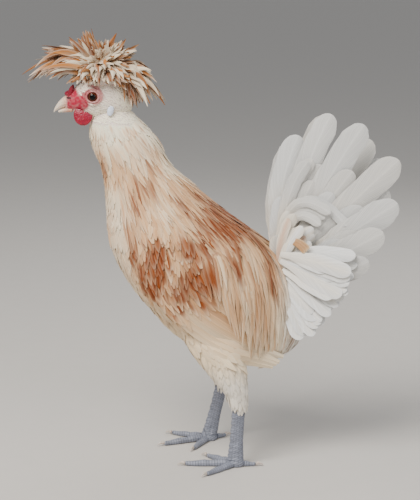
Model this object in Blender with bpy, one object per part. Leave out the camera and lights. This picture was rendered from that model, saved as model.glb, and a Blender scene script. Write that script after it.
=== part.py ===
"""A Polish cockerel, life size, standing with its neck up and its tail cocked.

The bird faces -X and shows its left side to -Y. It stands on the plane z = 0. The sizes below
are written in millimetres and the model is built in metres. Each outline station gives a point
on the belly side, a point on the back side and a half width, and a smooth curve runs through
them. At the end the whole bird is moved so that the origin is the bottom centre of its box.
"""

import math
import random

import bmesh
import bpy
import numpy as np
from mathutils import Matrix, Vector
from mathutils.bvhtree import BVHTree

# Driving sizes
MM = 0.001
GAP = 0.3
MELT, FLAT_JOIN = 0.02, 3.0
LEFT, RIGHT = -1.0, 1.0

# Outline stations from nape to vent: belly x, z, back x, z, half width
BODY = (
    (-124, 347, -88, 356, 16),
    (-128, 333, -76, 345, 21),
    (-124.5, 314, -58, 324, 26),
    (-115, 290, -45, 297, 29),
    (-112, 257, -20, 275, 38),
    (-109, 220, 8, 251, 48),
    (-93, 184, 30, 235, 54),
    (-68, 151, 48, 220, 56),
    (-42, 124, 62, 206, 53),
    (-4, 102, 76, 184, 44),
    (42, 98, 86, 152, 30),
    (70, 112, 84, 128, 12),
)
BODY_RINGS = 25
BODY_SIDES = 18
NECK_SHARE = 0.37

# Head stations from the back of the skull to the beak: x, middle z, half height, half width
HEAD = (
    (-84, 362, 9, 8),
    (-88, 364, 17, 13.5),
    (-98, 366, 24, 18.5),
    (-111, 367, 25, 19.5),
    (-122, 366, 22.5, 17.5),
    (-132, 364, 17, 13.5),
    (-140, 361.5, 12.5, 9.5),
    (-147, 359.5, 9, 7),
    (-149, 359, 6, 4.5),
)
HEAD_RINGS = 15
HEAD_SIDES = 16

EYE_AT = (-120.7, 12.6, 366)
EYE_RADIUS = 6.4
LID_RING, LID_THICK = 5.2, 1.3

# Upper beak stations: x, middle z, half height, half width
BEAK_UPPER = (
    (-144, 360.5, 6.4, 6.2),
    (-148, 360.2, 6.0, 5.6),
    (-152, 358.6, 5.0, 4.6),
    (-156, 355.8, 3.6, 3.2),
    (-159, 352.6, 2.2, 1.9),
    (-160.6, 349.8, 0.8, 0.7),
)
BEAK_LOWER = (
    (-142, 352.6, 3.0, 5.6),
    (-147, 351.9, 2.6, 4.6),
    (-152, 351.2, 1.9, 3.2),
    (-156, 350.2, 1.0, 1.6),
)
MOUTH_AT, MOUTH_SIZE = (-146, 0, 354.6), (8, 14, 0.55)
COMB_BASE_AT, COMB_BASE_SIZE = (-144.5, 0, 370.5), (4.4, 5.4, 3.0)
NOSTRIL_AT, NOSTRIL_SIZE = (-147.5, 5.4, 362.8), (2.4, 1.4, 1.2)
CERE_AT, CERE_SIZE = (-145.5, 3.6, 364.0), (4.6, 3.4, 3.6)
COMB_AT, COMB_HEIGHT, COMB_ROOT = (-144.5, 3.4, 371.5), 8.0, 2.6
WATTLE_AT, WATTLE_SIZE = (-131, 9.0, 347.5), (9.4, 2.7, 10.5)
LOBE_AT, LOBE_SIZE = (-103.7, 17.2, 352.5), (3.2, 2.2, 6.2)

# Crest: the dome that its feathers grow from
DOME_AT, DOME_SIZE = (-109, 0, 384), (28, 21.5, 20)

# Leg stations: x, y, z, half length along x, half width
THIGH = (
    (-6, 28, 152, 33, 16),
    (-3, 35, 128, 31.5, 18),
    (6, 40, 105, 24, 16.5),
    (13, 42.5, 89, 17.5, 13.5),
    (18.5, 43, 77, 12.5, 11),
    (21.5, 42, 66, 9, 8.2),
    (22, 42, 60, 6.5, 6),
)
SHANK = (
    (22, 42, 66, 7.0, 5.6),
    (21.5, 42, 56, 7.2, 5.4),
    (20.5, 42, 42, 6.6, 4.9),
    (19.5, 42, 26, 6.6, 4.9),
    (19, 42, 14, 7.4, 5.6),
    (18.5, 42, 7, 8.0, 7.0),
)
PAD_HEIGHT = 9.0
RIGHT_LEG_SHIFT = -27.0
RIGHT_LEG_LEAN = 12.0
SCUTES = 10
SCUTE_RISE = 0.7

# Toes: heading from straight ahead towards the outside, length, root half width
TOES = {
    "middle": (0, 50, 4.6),
    "outer": (47, 42, 4.2),
    "inner": (-42, 38, 4.2),
    "hind": (176, 20, 3.8),
}
RIGHT_FOOT_TURN = -24.0
CLAW = (12.0, 2.3)

# Wing: planform stations along the wing, upper x, z and lower x, z, and thickness
WING = (
    (-74, 256, -80, 232, 4.5),
    (-44, 254, -77, 200, 7.5),
    (-15, 233, -65, 174, 8.5),
    (13, 208, -40, 145, 8.5),
    (38, 184, -10, 123, 8.0),
    (58, 154, 22, 103, 7.0),
    (66, 121, 48, 99, 5.0),
)
WING_ROWS = 12
WING_COLUMNS = 6

# Feather outlines: how far along the shaft, and the share of the full width there
ROUND = ((0.0, 0.5), (0.4, 0.9), (0.75, 1.0), (0.93, 0.72), (1.0, 0.3))
LANCE = ((0.0, 0.6), (0.3, 1.0), (0.7, 0.72), (1.0, 0.14))
QUILL = ((0.0, 0.3), (0.25, 0.72), (0.6, 1.0), (0.86, 0.94), (0.96, 0.66), (1.0, 0.3))
FLAT = ((-1, -1), (1, -1), (0.72, 1), (-0.72, 1))
CROWNED = ((-1, -1), (0, -1), (1, -1), (0.84, 1), (0, 1), (-0.84, 1))

# Crest tufts: root x, z, tip x, z, reach to the side, bow, feathers on each side
TUFTS = (
    (-120, 397, -169, 410, 8, 5, 2),
    (-122, 395, -182, 385, 13, 20, 2),
    (-124, 390, -163, 387, 20, 9, 1),
    (-122, 399, -142, 420, 7, 2, 2),
    (-117, 401, -128, 428, 5, 0, 1),
    (-112, 402, -114, 415, 18, 2, 1),
    (-106, 401, -90, 427, 6, -2, 1),
    (-98, 398, -82, 408, 14, 4, 1),
    (-92, 392, -66, 388, 17, 8, 2),
    (-88, 386, -58, 361, 15, 12, 2),
    (-90, 380, -82, 357, 26, 9, 1),
    (-116, 390, -123, 389, 46, 9, 2),
    (-101, 389, -92, 384, 44, 9, 2),
)
CREST_WIDTH, CREST_THICK = 8.5, 1.4
ROOT_DEPTH, ROOT_SPREAD = 0.9, 0.4

# Neck hackles: place along the neck, count on each side, length, width
HACKLE_TIERS = (
    (0.76, 5, 50, 13),
    (0.44, 5, 50, 11),
)
HACKLE_FALL, SADDLE_FALL = Vector((0.55, 0, -0.9)), Vector((0.2, -0.35, -1))
# Saddle hackles: back-line share of the body, angle from the top, count, length, width
SADDLE_TIERS = (
    (0.45, 0.70, 42, 6, 76, 10.5),
    (0.42, 0.72, 20, 4, 70, 11.5),
)

# Wing rows: first root x, z, last root x, z, count, length, width
COVERT_ROWS = (
    (-74, 200, -14, 220, 6, 38, 12.6),
    (-77, 218, -26, 236, 5, 32, 13.0),
    (-76, 236, -44, 247, 3, 28, 14.0),
)
# Flight feathers, lowest first: root x, z, middle x, z, tip x, z
FLIGHTS = (
    (-64, 178, -30, 122, 54, 99),
    (-56, 186, -15, 132, 63, 107),
    (-46, 193, -1, 143, 69, 117),
    (-34, 200, 13, 154, 73, 129),
    (-22, 207, 26, 166, 76, 142),
    (-9, 214, 38, 178, 77, 156),
)
FLIGHT_WIDTH = 14.0

# Tail: where its feathers spring from, and each main feather's tip x, z, y, width and bow
TAIL_ROOT = (66, 194)
TAIL_CORE_AT, TAIL_CORE_SIZE = (81, 0, 177), (19, 14, 34)
TAIL_FEATHERS = (
    (79, 327, 4, 24, 17),
    (106, 347, 8, 26, 15),
    (137, 339, 13, 27, 11),
    (156, 318, 18, 28, 8),
    (180, 301, 24, 30, 5),
    (180, 258, 30, 30, 0),
    (155, 215, 34, 28, -6),
)
# Sickles: middle x, z, tip x, z, y, width
SICKLES = (
    (64, 262, 98, 272, 13, 11),
    (70, 250, 112, 252, 16, 11),
    (82, 236, 118, 226, 18, 11),
    (62, 238, 86, 250, 12, 11),
)
# Under-tail feathers: root x, z, tip x, z, y, width
UNDER_TAIL = (
    (82, 186, 138, 180, 26, 22),
    (86, 174, 134, 163, 23, 22),
    (88, 164, 124, 148, 19, 20),
    (88, 156, 106, 136, 13, 18),
)


def smooth_run(rows, count):
    """A Catmull-Rom curve through the rows, read at count even steps."""
    rows = np.array(rows, float)
    padded = np.vstack([2 * rows[0] - rows[1], rows, 2 * rows[-1] - rows[-2]])
    read = []
    for at in np.linspace(0, len(rows) - 1, count):
        i = min(int(at), len(rows) - 2)
        t = at - i
        p0, p1, p2, p3 = padded[i : i + 4]
        read.append(
            0.5
            * (
                2 * p1
                + (p2 - p0) * t
                + (2 * p0 - 5 * p1 + 4 * p2 - p3) * t * t
                + (3 * p1 - p0 - 3 * p2 + p3) * t**3
            )
        )
    return np.array(read)


def ring(centre, half_a, half_b, sides):
    """Points of an ellipse spanned by two half axes."""
    turns = [2 * math.pi * k / sides for k in range(sides)]
    return [centre + half_a * math.cos(t) + half_b * math.sin(t) for t in turns]


def loft(rings):
    """Vertices and triangles of the closed skin over a run of rings."""
    sides = len(rings[0])
    verts = [p for r in rings for p in r]
    faces = []
    for i in range(len(rings) - 1):
        for k in range(sides):
            a, b = i * sides + k, i * sides + (k + 1) % sides
            faces += [(a, b, b + sides), (a, b + sides, a + sides)]
    for first, turn in ((0, -1), (len(verts) - sides, 1)):
        middle = sum((verts[first + k] for k in range(sides)), Vector()) / sides
        verts.append(middle)
        for k in range(sides):
            faces.append((first + k, first + (k + turn) % sides, len(verts) - 1))
    return verts, faces


def shape(name, verts, faces, mirror=False):
    """A mesh object from points in millimetres, facing out, mirrored across y on request."""
    mesh = bpy.data.meshes.new(name)
    flip = -MM if mirror else MM
    mesh.from_pydata([(v[0] * MM, v[1] * flip, v[2] * MM) for v in verts], [], faces)
    bm = bmesh.new()
    bm.from_mesh(mesh)
    bmesh.ops.recalc_face_normals(bm, faces=bm.faces)
    bm.to_mesh(mesh)
    bm.free()
    made = bpy.data.objects.new(name, mesh)
    bpy.context.scene.collection.objects.link(made)
    return made


def ball(name, at, size, grow=0.0, turn=None, rings=10, sides=14):
    """An ellipsoid with its poles along x."""
    turn = turn or Matrix.Identity(3)
    run = []
    for i in range(1, rings):
        angle = math.pi * i / rings
        across, along = math.sin(angle), math.cos(angle)
        centre = Vector((along * (size[0] + grow), 0, 0))
        run.append(
            ring(
                centre,
                Vector((0, across * (size[1] + grow), 0)),
                Vector((0, 0, across * (size[2] + grow))),
                sides,
            )
        )
    verts, faces = loft(run)
    verts[-2] = Vector((size[0] + grow, 0, 0))
    verts[-1] = Vector((-size[0] - grow, 0, 0))
    return shape(name, [turn @ v + Vector(at) for v in verts], faces)


def boolean(base, others, operation):
    """Applies one Boolean of base with all the others, which are then removed."""
    if not others:
        return base
    group = bpy.data.collections.new("operands")
    bpy.context.scene.collection.children.link(group)
    for other in others:
        bpy.context.scene.collection.objects.unlink(other)
        group.objects.link(other)
    modifier = base.modifiers.new("join", "BOOLEAN")
    modifier.operation = operation
    modifier.operand_type = "COLLECTION"
    modifier.collection = group
    modifier.solver = "MANIFOLD"
    graph = bpy.context.evaluated_depsgraph_get()
    graph.update()
    done = bpy.data.meshes.new_from_object(base.evaluated_get(graph))
    base.modifiers.clear()
    base.data = done
    for other in others:
        bpy.data.objects.remove(other)
    bpy.data.collections.remove(group)
    return base


def keep_largest(base):
    """Keeps only the largest closed surface of a mesh."""
    bm = bmesh.new()
    bm.from_mesh(base.data)
    left, islands = set(bm.faces), []
    while left:
        stack, island = [left.pop()], []
        while stack:
            face = stack.pop()
            island.append(face)
            near = {f for edge in face.edges for f in edge.link_faces if f in left}
            left -= near
            stack += near
        islands.append(island)

    def volume(island):
        total = 0.0
        for face in island:
            a = face.verts[0].co
            for b, c in zip(face.verts[1:], face.verts[2:]):
                total += a.dot(b.co.cross(c.co))
        return total

    islands.sort(key=volume)
    bmesh.ops.delete(bm, geom=[f for i in islands[:-1] for f in i], context="FACES")
    bm.to_mesh(base.data)
    bm.free()
    return base


def material(name, colour, roughness):
    made = bpy.data.materials.get(name)
    if made is None:
        made = bpy.data.materials.new(name)
        made.use_nodes = True
        socket = made.node_tree.nodes["Principled BSDF"].inputs
        socket["Base Color"].default_value = (*colour, 1.0)
        socket["Roughness"].default_value = roughness
        socket["Metallic"].default_value = 0.0
    return made


PLUMAGE = ("plumage", (0.78, 0.66, 0.50), 0.8)
WHITE = ("white feather", (0.80, 0.79, 0.76), 0.7)
BUFF = ("buff feather", (0.70, 0.38, 0.16), 0.8)
RED_SKIN = ("red skin", (0.62, 0.07, 0.10), 0.45)
HORN = ("horn", (0.72, 0.58, 0.47), 0.4)
SCALE = ("slate scale", (0.33, 0.36, 0.43), 0.55)
LOBE_SKIN = ("lobe skin", (0.72, 0.76, 0.85), 0.5)
EYE_GLOSS = ("eye", (0.05, 0.02, 0.01), 0.1)


def lighten(base):
    """Melts short edges and flat joins, closes what that opens and cuts into triangles."""
    bm = bmesh.new()
    bm.from_mesh(base.data)
    bmesh.ops.dissolve_degenerate(bm, dist=MELT * MM, edges=bm.edges)
    bmesh.ops.dissolve_limit(
        bm, angle_limit=math.radians(FLAT_JOIN), verts=bm.verts, edges=bm.edges
    )
    loose = [edge for edge in bm.edges if edge.is_wire]
    bmesh.ops.delete(bm, geom=loose, context="EDGES")
    gaps = [edge for edge in bm.edges if edge.is_boundary]
    bmesh.ops.holes_fill(bm, edges=gaps, sides=12)
    bmesh.ops.triangulate(bm, faces=bm.faces, quad_method="FIXED")
    bm.to_mesh(base.data)
    bm.free()
    return base


def finish(base, name, looks):
    """Makes one body, names it, gives it its material and keeps its sharp edges."""
    keep_largest(lighten(base))
    base.name = name
    base.data.name = name
    base.data.materials.clear()
    base.data.materials.append(material(*looks))
    base.data.shade_smooth()
    base.data.set_sharp_from_angle(angle=math.radians(40))
    return base


def at_share(points, share):
    """The point at a share of the way along evenly spaced points."""
    at = share * (len(points) - 1)
    i = min(int(at), len(points) - 2)
    return points[i].lerp(points[i + 1], at - i)


def feather(path, normals, outline, width, thick, section=FLAT, camber=0.0):
    """One feather's rings: place, outward normal, width and thickness at each outline step."""
    rings = []
    for t, share in outline:
        place, normal = at_share(path, t), at_share(normals, t)
        rings.append((place, normal, width * share, thick * (1 - 0.5 * t * t)))
    return rings, section, camber


def vane(plume, grow=0.0):
    """Points and triangles of one feather, cut into triangles alike on both faces."""
    rings, section, camber = plume
    verts, faces = [], []
    last, sides = len(rings) - 1, len(section)
    for i, (place, normal, width, thick) in enumerate(rings):
        ahead = (rings[min(i + 1, last)][0] - rings[max(i - 1, 0)][0]).normalized()
        normal = (normal - ahead * ahead.dot(normal)).normalized()
        across = ahead.cross(normal)
        place = place + ahead * grow * ((i == last) - (i == 0))
        for a, up in section:
            drop = camber * width * a * a / 2
            rise = up * (thick / 2 + grow) - drop
            verts.append(place + across * a * (width / 2 + grow) + normal * rise)
    for i in range(last):
        for k in range(sides):
            a, b = i * sides + k, i * sides + (k + 1) % sides
            if section[k][1] > 0:
                faces += [(a, b, a + sides), (b, b + sides, a + sides)]
            else:
                faces += [(a, b, b + sides), (a, b + sides, a + sides)]
    end = last * sides
    for k in range(1, sides - 1):
        faces += [(0, k + 1, k), (end, end + k, end + k + 1)]
    return verts, faces


def vanes(plumes, grow=0.0, mirror=False):
    """One closed mesh object for each feather."""
    return [shape("vane", *vane(plume, grow), mirror) for plume in plumes]


def tree_of(*meshes):
    """One search tree over several meshes of points and faces."""
    verts, faces = [], []
    for some_verts, some_faces in meshes:
        start = len(verts)
        verts += [Vector(v) for v in some_verts]
        faces += [tuple(k + start for k in face) for face in some_faces]
    return BVHTree.FromPolygons(verts, faces)


def mesh_of(base):
    """Points in millimetres and faces of an object."""
    verts = [v.co / MM for v in base.data.vertices]
    return verts, [tuple(p.vertices) for p in base.data.polygons]


def outer_spot(tree, place, normal):
    """The outermost surface over a place, and its normal."""
    spot, found, _, _ = tree.ray_cast(place + normal * 24, -normal, 48)
    if spot is None:
        spot, found, _, _ = tree.find_nearest(place)
    if found.dot(normal) < 0:
        found = -found
    return spot, found


def evened(points, passes=2):
    """A run of points with its kinks smoothed out and its ends kept."""
    for _ in range(passes):
        inner = [
            (a + b * 2 + c) / 4 for a, b, c in zip(points, points[1:], points[2:])
        ]
        points = [points[0]] + inner + [points[-1]]
    return points


def lifted(path, normals, low, high):
    """A smooth shaft over a path: low at its root, then rising to high at its tip."""
    smooth, normals = evened(path), evened(normals)
    last = len(path) - 1
    raised = []
    for i, (spot, out) in enumerate(zip(smooth, normals)):
        sunk = max((path[i] - spot).dot(out), 0.0)
        rise = low if i == 0 else 0.6 * high + 0.4 * high * i / last
        raised.append(spot + out * (sunk + rise))
    return raised, normals


def combed(tree, start, normal, heading, length, low, high, steps=9):
    """A shaft laid along a surface, rising from low at its root to high at its tip."""
    place, path, normals = start, [], []
    for i in range(steps + 1):
        place, found = outer_spot(tree, place, normal)
        normal = (normal * 0.5 + found * 0.5).normalized()
        path.append(place)
        normals.append(normal)
        way = (heading - normal * normal.dot(heading)).normalized()
        place = place + way * length / steps
    return lifted(path, normals, low, high)


def rolled(path, normals, angle):
    """Normals turned about the shaft, so that one edge stands out over its neighbour."""
    turned = []
    for i, normal in enumerate(normals):
        ahead = path[min(i + 1, len(path) - 1)] - path[max(i - 1, 0)]
        turned.append(Matrix.Rotation(math.radians(angle), 3, ahead) @ normal)
    return turned


def body_rings(grow=0.0):
    """Rings over the whole body, from nape to vent."""
    run = []
    for vx, vz, dx, dz, half in smooth_run(BODY, BODY_RINGS):
        belly, back = Vector((vx, 0, vz)), Vector((dx, 0, dz))
        reach = (back - belly) / 2
        reach *= 1 + grow / reach.length
        run.append(
            ring((belly + back) / 2, reach, Vector((0, half + grow, 0)), BODY_SIDES)
        )
    return run


def neck_cut():
    return round(BODY_RINGS * NECK_SHARE)


def neck_form(grow=0.0):
    run = body_rings(grow)[: neck_cut() + 1]
    if grow:
        step = (run[-1][0] - run[-2][0]).normalized() * grow
        run[-1] = [p + step for p in run[-1]]
    return shape("neck", *loft(run))


def torso_form(grow=0.0):
    run = body_rings(grow)[neck_cut() :]
    centre = [sum(r, Vector()) / len(r) for r in run]
    along = (centre[1] - centre[0]).normalized()
    shift = along * (GAP - grow)
    run[0] = [p + shift for p in run[0]]
    tail_end = (centre[-1] - centre[-2]).normalized() * (grow + 6)
    run.append([centre[-1] + (p - centre[-1]) * 0.5 + tail_end for p in run[-1]])
    return shape("torso", *loft(run))


def level_ring_run(stations, count, sides, grow=0.0):
    """Rings across x, from stations of x, z, half height and half width."""
    run = []
    for x, z, a, b in smooth_run(stations, count):
        run.append(
            ring(
                Vector((x, 0, z)),
                Vector((0, 0, a + grow)),
                Vector((0, b + grow, 0)),
                sides,
            )
        )
    for end, step in ((0, 1), (-1, -1)):
        way = grow if run[end][0].x > run[end + step][0].x else -grow
        run[end] = [p + Vector((way, 0, 0)) for p in run[end]]
    return run


def head_form(grow=0.0):
    return shape("head", *loft(level_ring_run(HEAD, HEAD_RINGS, HEAD_SIDES, grow)))


def torus(name, at, radius, thick, sides=14, around=5):
    """A ring that lies in the x-z plane."""
    verts, faces = [], []
    for i in range(sides):
        turn = 2 * math.pi * i / sides
        out = Vector((math.cos(turn), 0, math.sin(turn)))
        for p in ring(
            Vector(at) + out * radius, out * thick, Vector((0, thick, 0)), around
        ):
            verts.append(p)
    for i in range(sides):
        for k in range(around):
            a, b = i * around + k, i * around + (k + 1) % around
            c, d = (
                (i + 1) % sides * around + (k + 1) % around,
                (i + 1) % sides * around + k,
            )
            faces += [(a, b, c), (a, c, d)]
    return shape(name, verts, faces)


def lid_rings(grow=0.0):
    made = []
    for side, at in both_sides(EYE_AT):
        place = (at[0], side * 16.6, at[2])
        made.append(torus("lid", place, LID_RING, LID_THICK + grow))
    return made


def both_sides(at):
    return [(side, (at[0], at[1] * side, at[2])) for side in (LEFT, RIGHT)]


def side_name(side):
    return "left" if side == LEFT else "right"


def eye_form(side, grow=0.0):
    at = (EYE_AT[0], EYE_AT[1] * side, EYE_AT[2])
    size = (EYE_RADIUS,) * 3
    return ball("eye_" + side_name(side), at, size, grow, rings=8, sides=12)


def comb_forms(grow=0.0):
    """Two short horns that stand in a V over the root of the beak."""
    made = []
    for side, at in both_sides(COMB_AT):
        root = Vector(at) - Vector((0, side * 1.6, 3.0))
        tip = Vector(at) + Vector((2.0, side * 3.2, COMB_HEIGHT * 0.75))
        run = []
        for t in np.linspace(0, 1, 5):
            wide = COMB_ROOT * (1 - 0.75 * t**2) + grow
            centre = root.lerp(tip, t)
            run.append(ring(centre, Vector((wide, 0, 0)), Vector((0, wide, 0)), 8))
        run[-1] = [p + Vector((0, 0, grow)) for p in run[-1]]
        made.append(shape("horn", *loft(run)))
    return made


def wattle_form(side, grow=0.0):
    """A hanging lappet, thin at the rim and leaning outwards at the bottom."""
    at = Vector((WATTLE_AT[0], WATTLE_AT[1] * side, WATTLE_AT[2]))
    lean = Matrix.Rotation(side * math.radians(12), 3, "X")
    name = "wattle_" + side_name(side)
    return ball(name, at, WATTLE_SIZE, grow, lean, rings=9, sides=12)


def lobe_form(side, grow=0.0):
    at = (LOBE_AT[0], LOBE_AT[1] * side, LOBE_AT[2])
    lean = Matrix.Rotation(math.radians(12), 3, "Y")
    return ball("earlobe_" + side_name(side), at, LOBE_SIZE, grow, lean, 7, 8)


def beak_form(name, stations, grow=0.0):
    return shape(name, *loft(level_ring_run(stations, 8, 10, grow)))


def dome_form(grow=0.0):
    return ball("dome", DOME_AT, DOME_SIZE, grow, rings=8, sides=12)


def dome_spot(x, y, z):
    """The place under the dome's surface in the direction of a point."""
    away = Vector((x, y, z)) - Vector(DOME_AT)
    far = Vector([away[k] / DOME_SIZE[k] for k in range(3)]).length
    return Vector(DOME_AT) + away * ROOT_DEPTH / far


def crest_plumes(draw):
    """Tousled tufts: forward over the beak, up from the crown, out and down behind."""
    plumes = []
    for rx, rz, tx, tz, reach, bow, count in TUFTS:
        for side in (LEFT, RIGHT):
            for i in range(count):
                aside = side * reach * (i + 0.7) / (count - 0.3)
                root = dome_spot(rx, aside * ROOT_SPREAD, rz)
                tip = Vector((tx, aside, tz)) + Vector([draw.uniform(-1.5, 1.5) for _ in range(3)])
                tip = root.lerp(tip, draw.uniform(0.9, 1.0))
                middle = root.lerp(tip, 0.5) + Vector((0, 0, bow))
                path = [bend(root, middle, tip, t) for t in np.linspace(0, 1, 7)]
                normals = [Vector((0, side * 0.8, 0.6))] * 7
                plumes.append(feather(path, normals, LANCE, CREST_WIDTH, CREST_THICK))
    return plumes


def body_frame(share, angle):
    """A place on the body's skin: share from nape to vent, angle from the top of the back."""
    vx, vz, dx, dz, half = smooth_run(BODY, 101)[round(share * 100)]
    belly, back = Vector((vx, 0, vz)), Vector((dx, 0, dz))
    centre, reach = (belly + back) / 2, (back - belly) / 2
    turn = math.radians(angle)
    side = Vector((0, -half, 0))
    spot = centre + reach * math.cos(turn) + side * math.sin(turn)
    normal = reach.normalized() * math.cos(turn) / reach.length
    normal += side.normalized() * math.sin(turn) / half
    return spot, normal.normalized()


def hackle_plumes(under, draw):
    """The cape: tiers round the back and sides of the neck, lowest first, on the left."""
    plumes = []
    for share, count, length, width in HACKLE_TIERS:
        tree = tree_of(*under, *[vane(plume) for plume in plumes])
        for i in range(count):
            angle = 150 * (i + 0.5) / count
            spot, normal = body_frame(share * NECK_SHARE, angle + draw.uniform(-3, 3))
            long = length * draw.uniform(0.92, 1.08)
            path, normals = combed(tree, spot, normal, HACKLE_FALL, long, -0.9, 2.0)
            plumes.append(feather(path, normals, LANCE, width, 1.1))
    return plumes


def saddle_plumes(under, draw):
    """Long narrow feathers that hang from the back over the rear of the wing."""
    plumes = []
    for first, last, angle, count, length, width in SADDLE_TIERS:
        tree = tree_of(*under, *[vane(plume) for plume in plumes])
        for i in range(count):
            share = first + (last - first) * i / (count - 1)
            spot, normal = body_frame(share, angle + draw.uniform(-3, 3))
            long = length * draw.uniform(0.9, 1.1)
            path, normals = combed(tree, spot, normal, SADDLE_FALL, long, -0.9, 2.2)
            path[0] = spot - normal * 1.4
            plumes.append(feather(path, normals, LANCE, width, 1.1))
    return plumes


def leg_place(side, x, y, z):
    """Where a point of the left leg's pattern goes on either leg."""
    if side == LEFT:
        return Vector((x, -y, z))
    shift = RIGHT_LEG_SHIFT + RIGHT_LEG_LEAN * z / SHANK[0][2]
    return Vector((x + shift, y, z))


def leg_mesh(side, stations, count, sides, grow=0.0, scutes=0):
    """Points and faces of a limb; its front carries scutes, each with a raised lower edge."""
    shares = [i / (count - 1) for i in range(count)]
    if scutes:
        pairs = [(i / scutes, (i + 0.82) / scutes) for i in range(scutes)]
        shares = [share for pair in pairs for share in pair] + [1.0]
    run = []
    for i, share in enumerate(shares):
        x, y, z, a, b = smooth_run(stations, 201)[round(share * 200)]
        raised = SCUTE_RISE if scutes and i % 2 else 0.0
        centre, points = Vector((x, y, z)), []
        for k in range(sides):
            turn = 2 * math.pi * k / sides
            front = max(-math.cos(turn), -0.2) + 0.2
            more = grow + raised * front
            across = Vector(((a + more) * math.cos(turn), (b + more) * math.sin(turn), 0))
            points.append(centre + across)
        run.append(points)
    for end, step in ((0, 1), (-1, -1)):
        rise = grow if run[end][0].z > run[end + step][0].z else -grow
        run[end] = [p + Vector((0, 0, rise)) for p in run[end]]
    verts, faces = loft(run)
    return [leg_place(side, v.x, v.y, v.z) for v in verts], faces


def thigh_mesh(side, grow=0.0):
    return leg_mesh(side, THIGH, 10, 12, grow)


def thigh_form(side, grow=0.0):
    return shape("thigh_" + side_name(side), *thigh_mesh(side, grow))


def foot_centre(side):
    last = SHANK[-1]
    return leg_place(side, last[0], last[1], 0)


def pad_form(side, grow=0.0):
    """The sole's cushion, flat at the bottom."""
    at = foot_centre(side)
    run = []
    for z, wide in ((0 - grow, 7.5), (1.2, 9), (4.5, 9.2), (PAD_HEIGHT + grow, 6.5)):
        wide += grow
        centre = Vector((at.x, at.y, z))
        run.append(ring(centre, Vector((wide, 0, 0)), Vector((0, wide * 0.86, 0)), 12))
    return shape("pad", *loft(run))


def shank_form(side, grow=0.0):
    name = "shank_" + side_name(side)
    limb = shape(name, *leg_mesh(side, SHANK, 9, 10, grow, 0 if grow else SCUTES))
    return boolean(limb, [pad_form(side, grow)], "UNION")


def toe_run(side, toe):
    """Heading and root of one toe on the floor."""
    degrees, length, wide = TOES[toe]
    turn = RIGHT_FOOT_TURN if side == RIGHT else 0.0
    angle = math.radians(degrees + turn)
    heading = Vector((-math.cos(angle), side * math.sin(angle), 0))
    return foot_centre(side), heading, length, wide


def toe_form(side, toe, grow=0.0):
    """A toe with a bulge at each joint, flat underneath."""
    root, heading, length, wide = toe_run(side, toe)
    across = Vector((-heading.y, heading.x, 0))
    joints = 3 if toe != "hind" else 2
    run = []
    for t in np.linspace(0, 1, 9):
        bulge = 1 + 0.1 * math.cos(2 * math.pi * joints * t)
        half = wide * (1 - 0.36 * t) * bulge + grow
        tall = half * 0.95
        points = []
        for k in range(8):
            turn = 2 * math.pi * (k + 0.5) / 8
            rise = max(math.sin(turn), -0.72) * tall
            points.append(across * math.cos(turn) * half + Vector((0, 0, rise)))
        low = min(p.z for p in points)
        centre = root + heading * (length + grow) * t
        centre.z = -low - grow
        run.append([centre + p for p in points])
    return shape(f"toe_{toe}_{side_name(side)}", *loft(run))


def claw_form(side, toe):
    root, heading, length, _ = toe_run(side, toe)
    across = Vector((-heading.y, heading.x, 0))
    long, wide = CLAW
    run = []
    for t in np.linspace(0, 1, 5):
        half = wide * (1 - 0.82 * t**1.4)
        centre = root + heading * (length - 4 + long * t)
        centre.z = 3.2 - 1.9 * t * t
        run.append(ring(centre, across * half * 0.8, Vector((0, 0, half)), 6))
    return shape(f"claw_{toe}_{side_name(side)}", *loft(run))


def wing_core(surface):
    """A pad over the left flank, thickest along its middle, with its inner face in the body."""
    rows = smooth_run(WING, WING_ROWS)
    outer, inner = [], []
    for i, (ux, uz, lx, lz, thick) in enumerate(rows):
        end = math.sin(math.pi * (0.06 + 0.9 * i / (WING_ROWS - 1))) ** 0.4
        for k in range(WING_COLUMNS):
            t = k / (WING_COLUMNS - 1)
            x, z = ux + (lx - ux) * t, uz + (lz - uz) * t
            spot, normal, _, _ = surface.ray_cast(Vector((x, -120, z)), Vector((0, 1, 0)))
            if spot is None:
                spot, normal, _, _ = surface.find_nearest(Vector((x, -40, z)))
                spot = Vector((x, min(spot.y, -30), z))
            rise = thick * end * (0.35 + 0.65 * math.sin(math.pi * (0.08 + 0.84 * t)))
            out = Vector((normal.x * 0.3, -1, normal.z * 0.3)).normalized()
            outer.append(spot + out * rise)
            inner.append(spot - out * 3)
    verts = outer + inner
    count, half = WING_COLUMNS, len(outer)
    faces = []
    for i in range(WING_ROWS - 1):
        for k in range(count - 1):
            a = i * count + k
            for base in (0, half):
                faces += [
                    (base + a, base + a + 1, base + a + count + 1),
                    (base + a, base + a + count + 1, base + a + count),
                ]
    rim = list(range(count))
    rim += [i * count + count - 1 for i in range(1, WING_ROWS)]
    rim += [(WING_ROWS - 1) * count + k for k in range(count - 2, -1, -1)]
    rim += [i * count for i in range(WING_ROWS - 2, 0, -1)]
    for a, b in zip(rim, rim[1:] + rim[:1]):
        faces += [(a, b, b + half), (a, b + half, a + half)]
    return verts, faces


def draped(tree, line, low, high):
    """A shaft whose x and z are given, dropped onto the flank from the left."""
    path, normals = [], []
    for x, z in line:
        spot, normal, _, _ = tree.ray_cast(Vector((x, -120, z)), Vector((0, 1, 0)))
        if spot is None:
            spot, normal, _, _ = tree.find_nearest(Vector((x, -48, z)))
            spot = Vector((x, spot.y, z))
        if normal.y > 0:
            normal = -normal
        path.append(spot)
        normals.append(normal.lerp(Vector((0, -1, 0)), 0.35).normalized())
    return lifted(path, normals, low, high)


def bend(start, middle, end, t):
    """A point on a curve from start to end that is pulled towards middle."""
    return start * (1 - t) ** 2 + middle * 2 * t * (1 - t) + end * t * t


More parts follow.
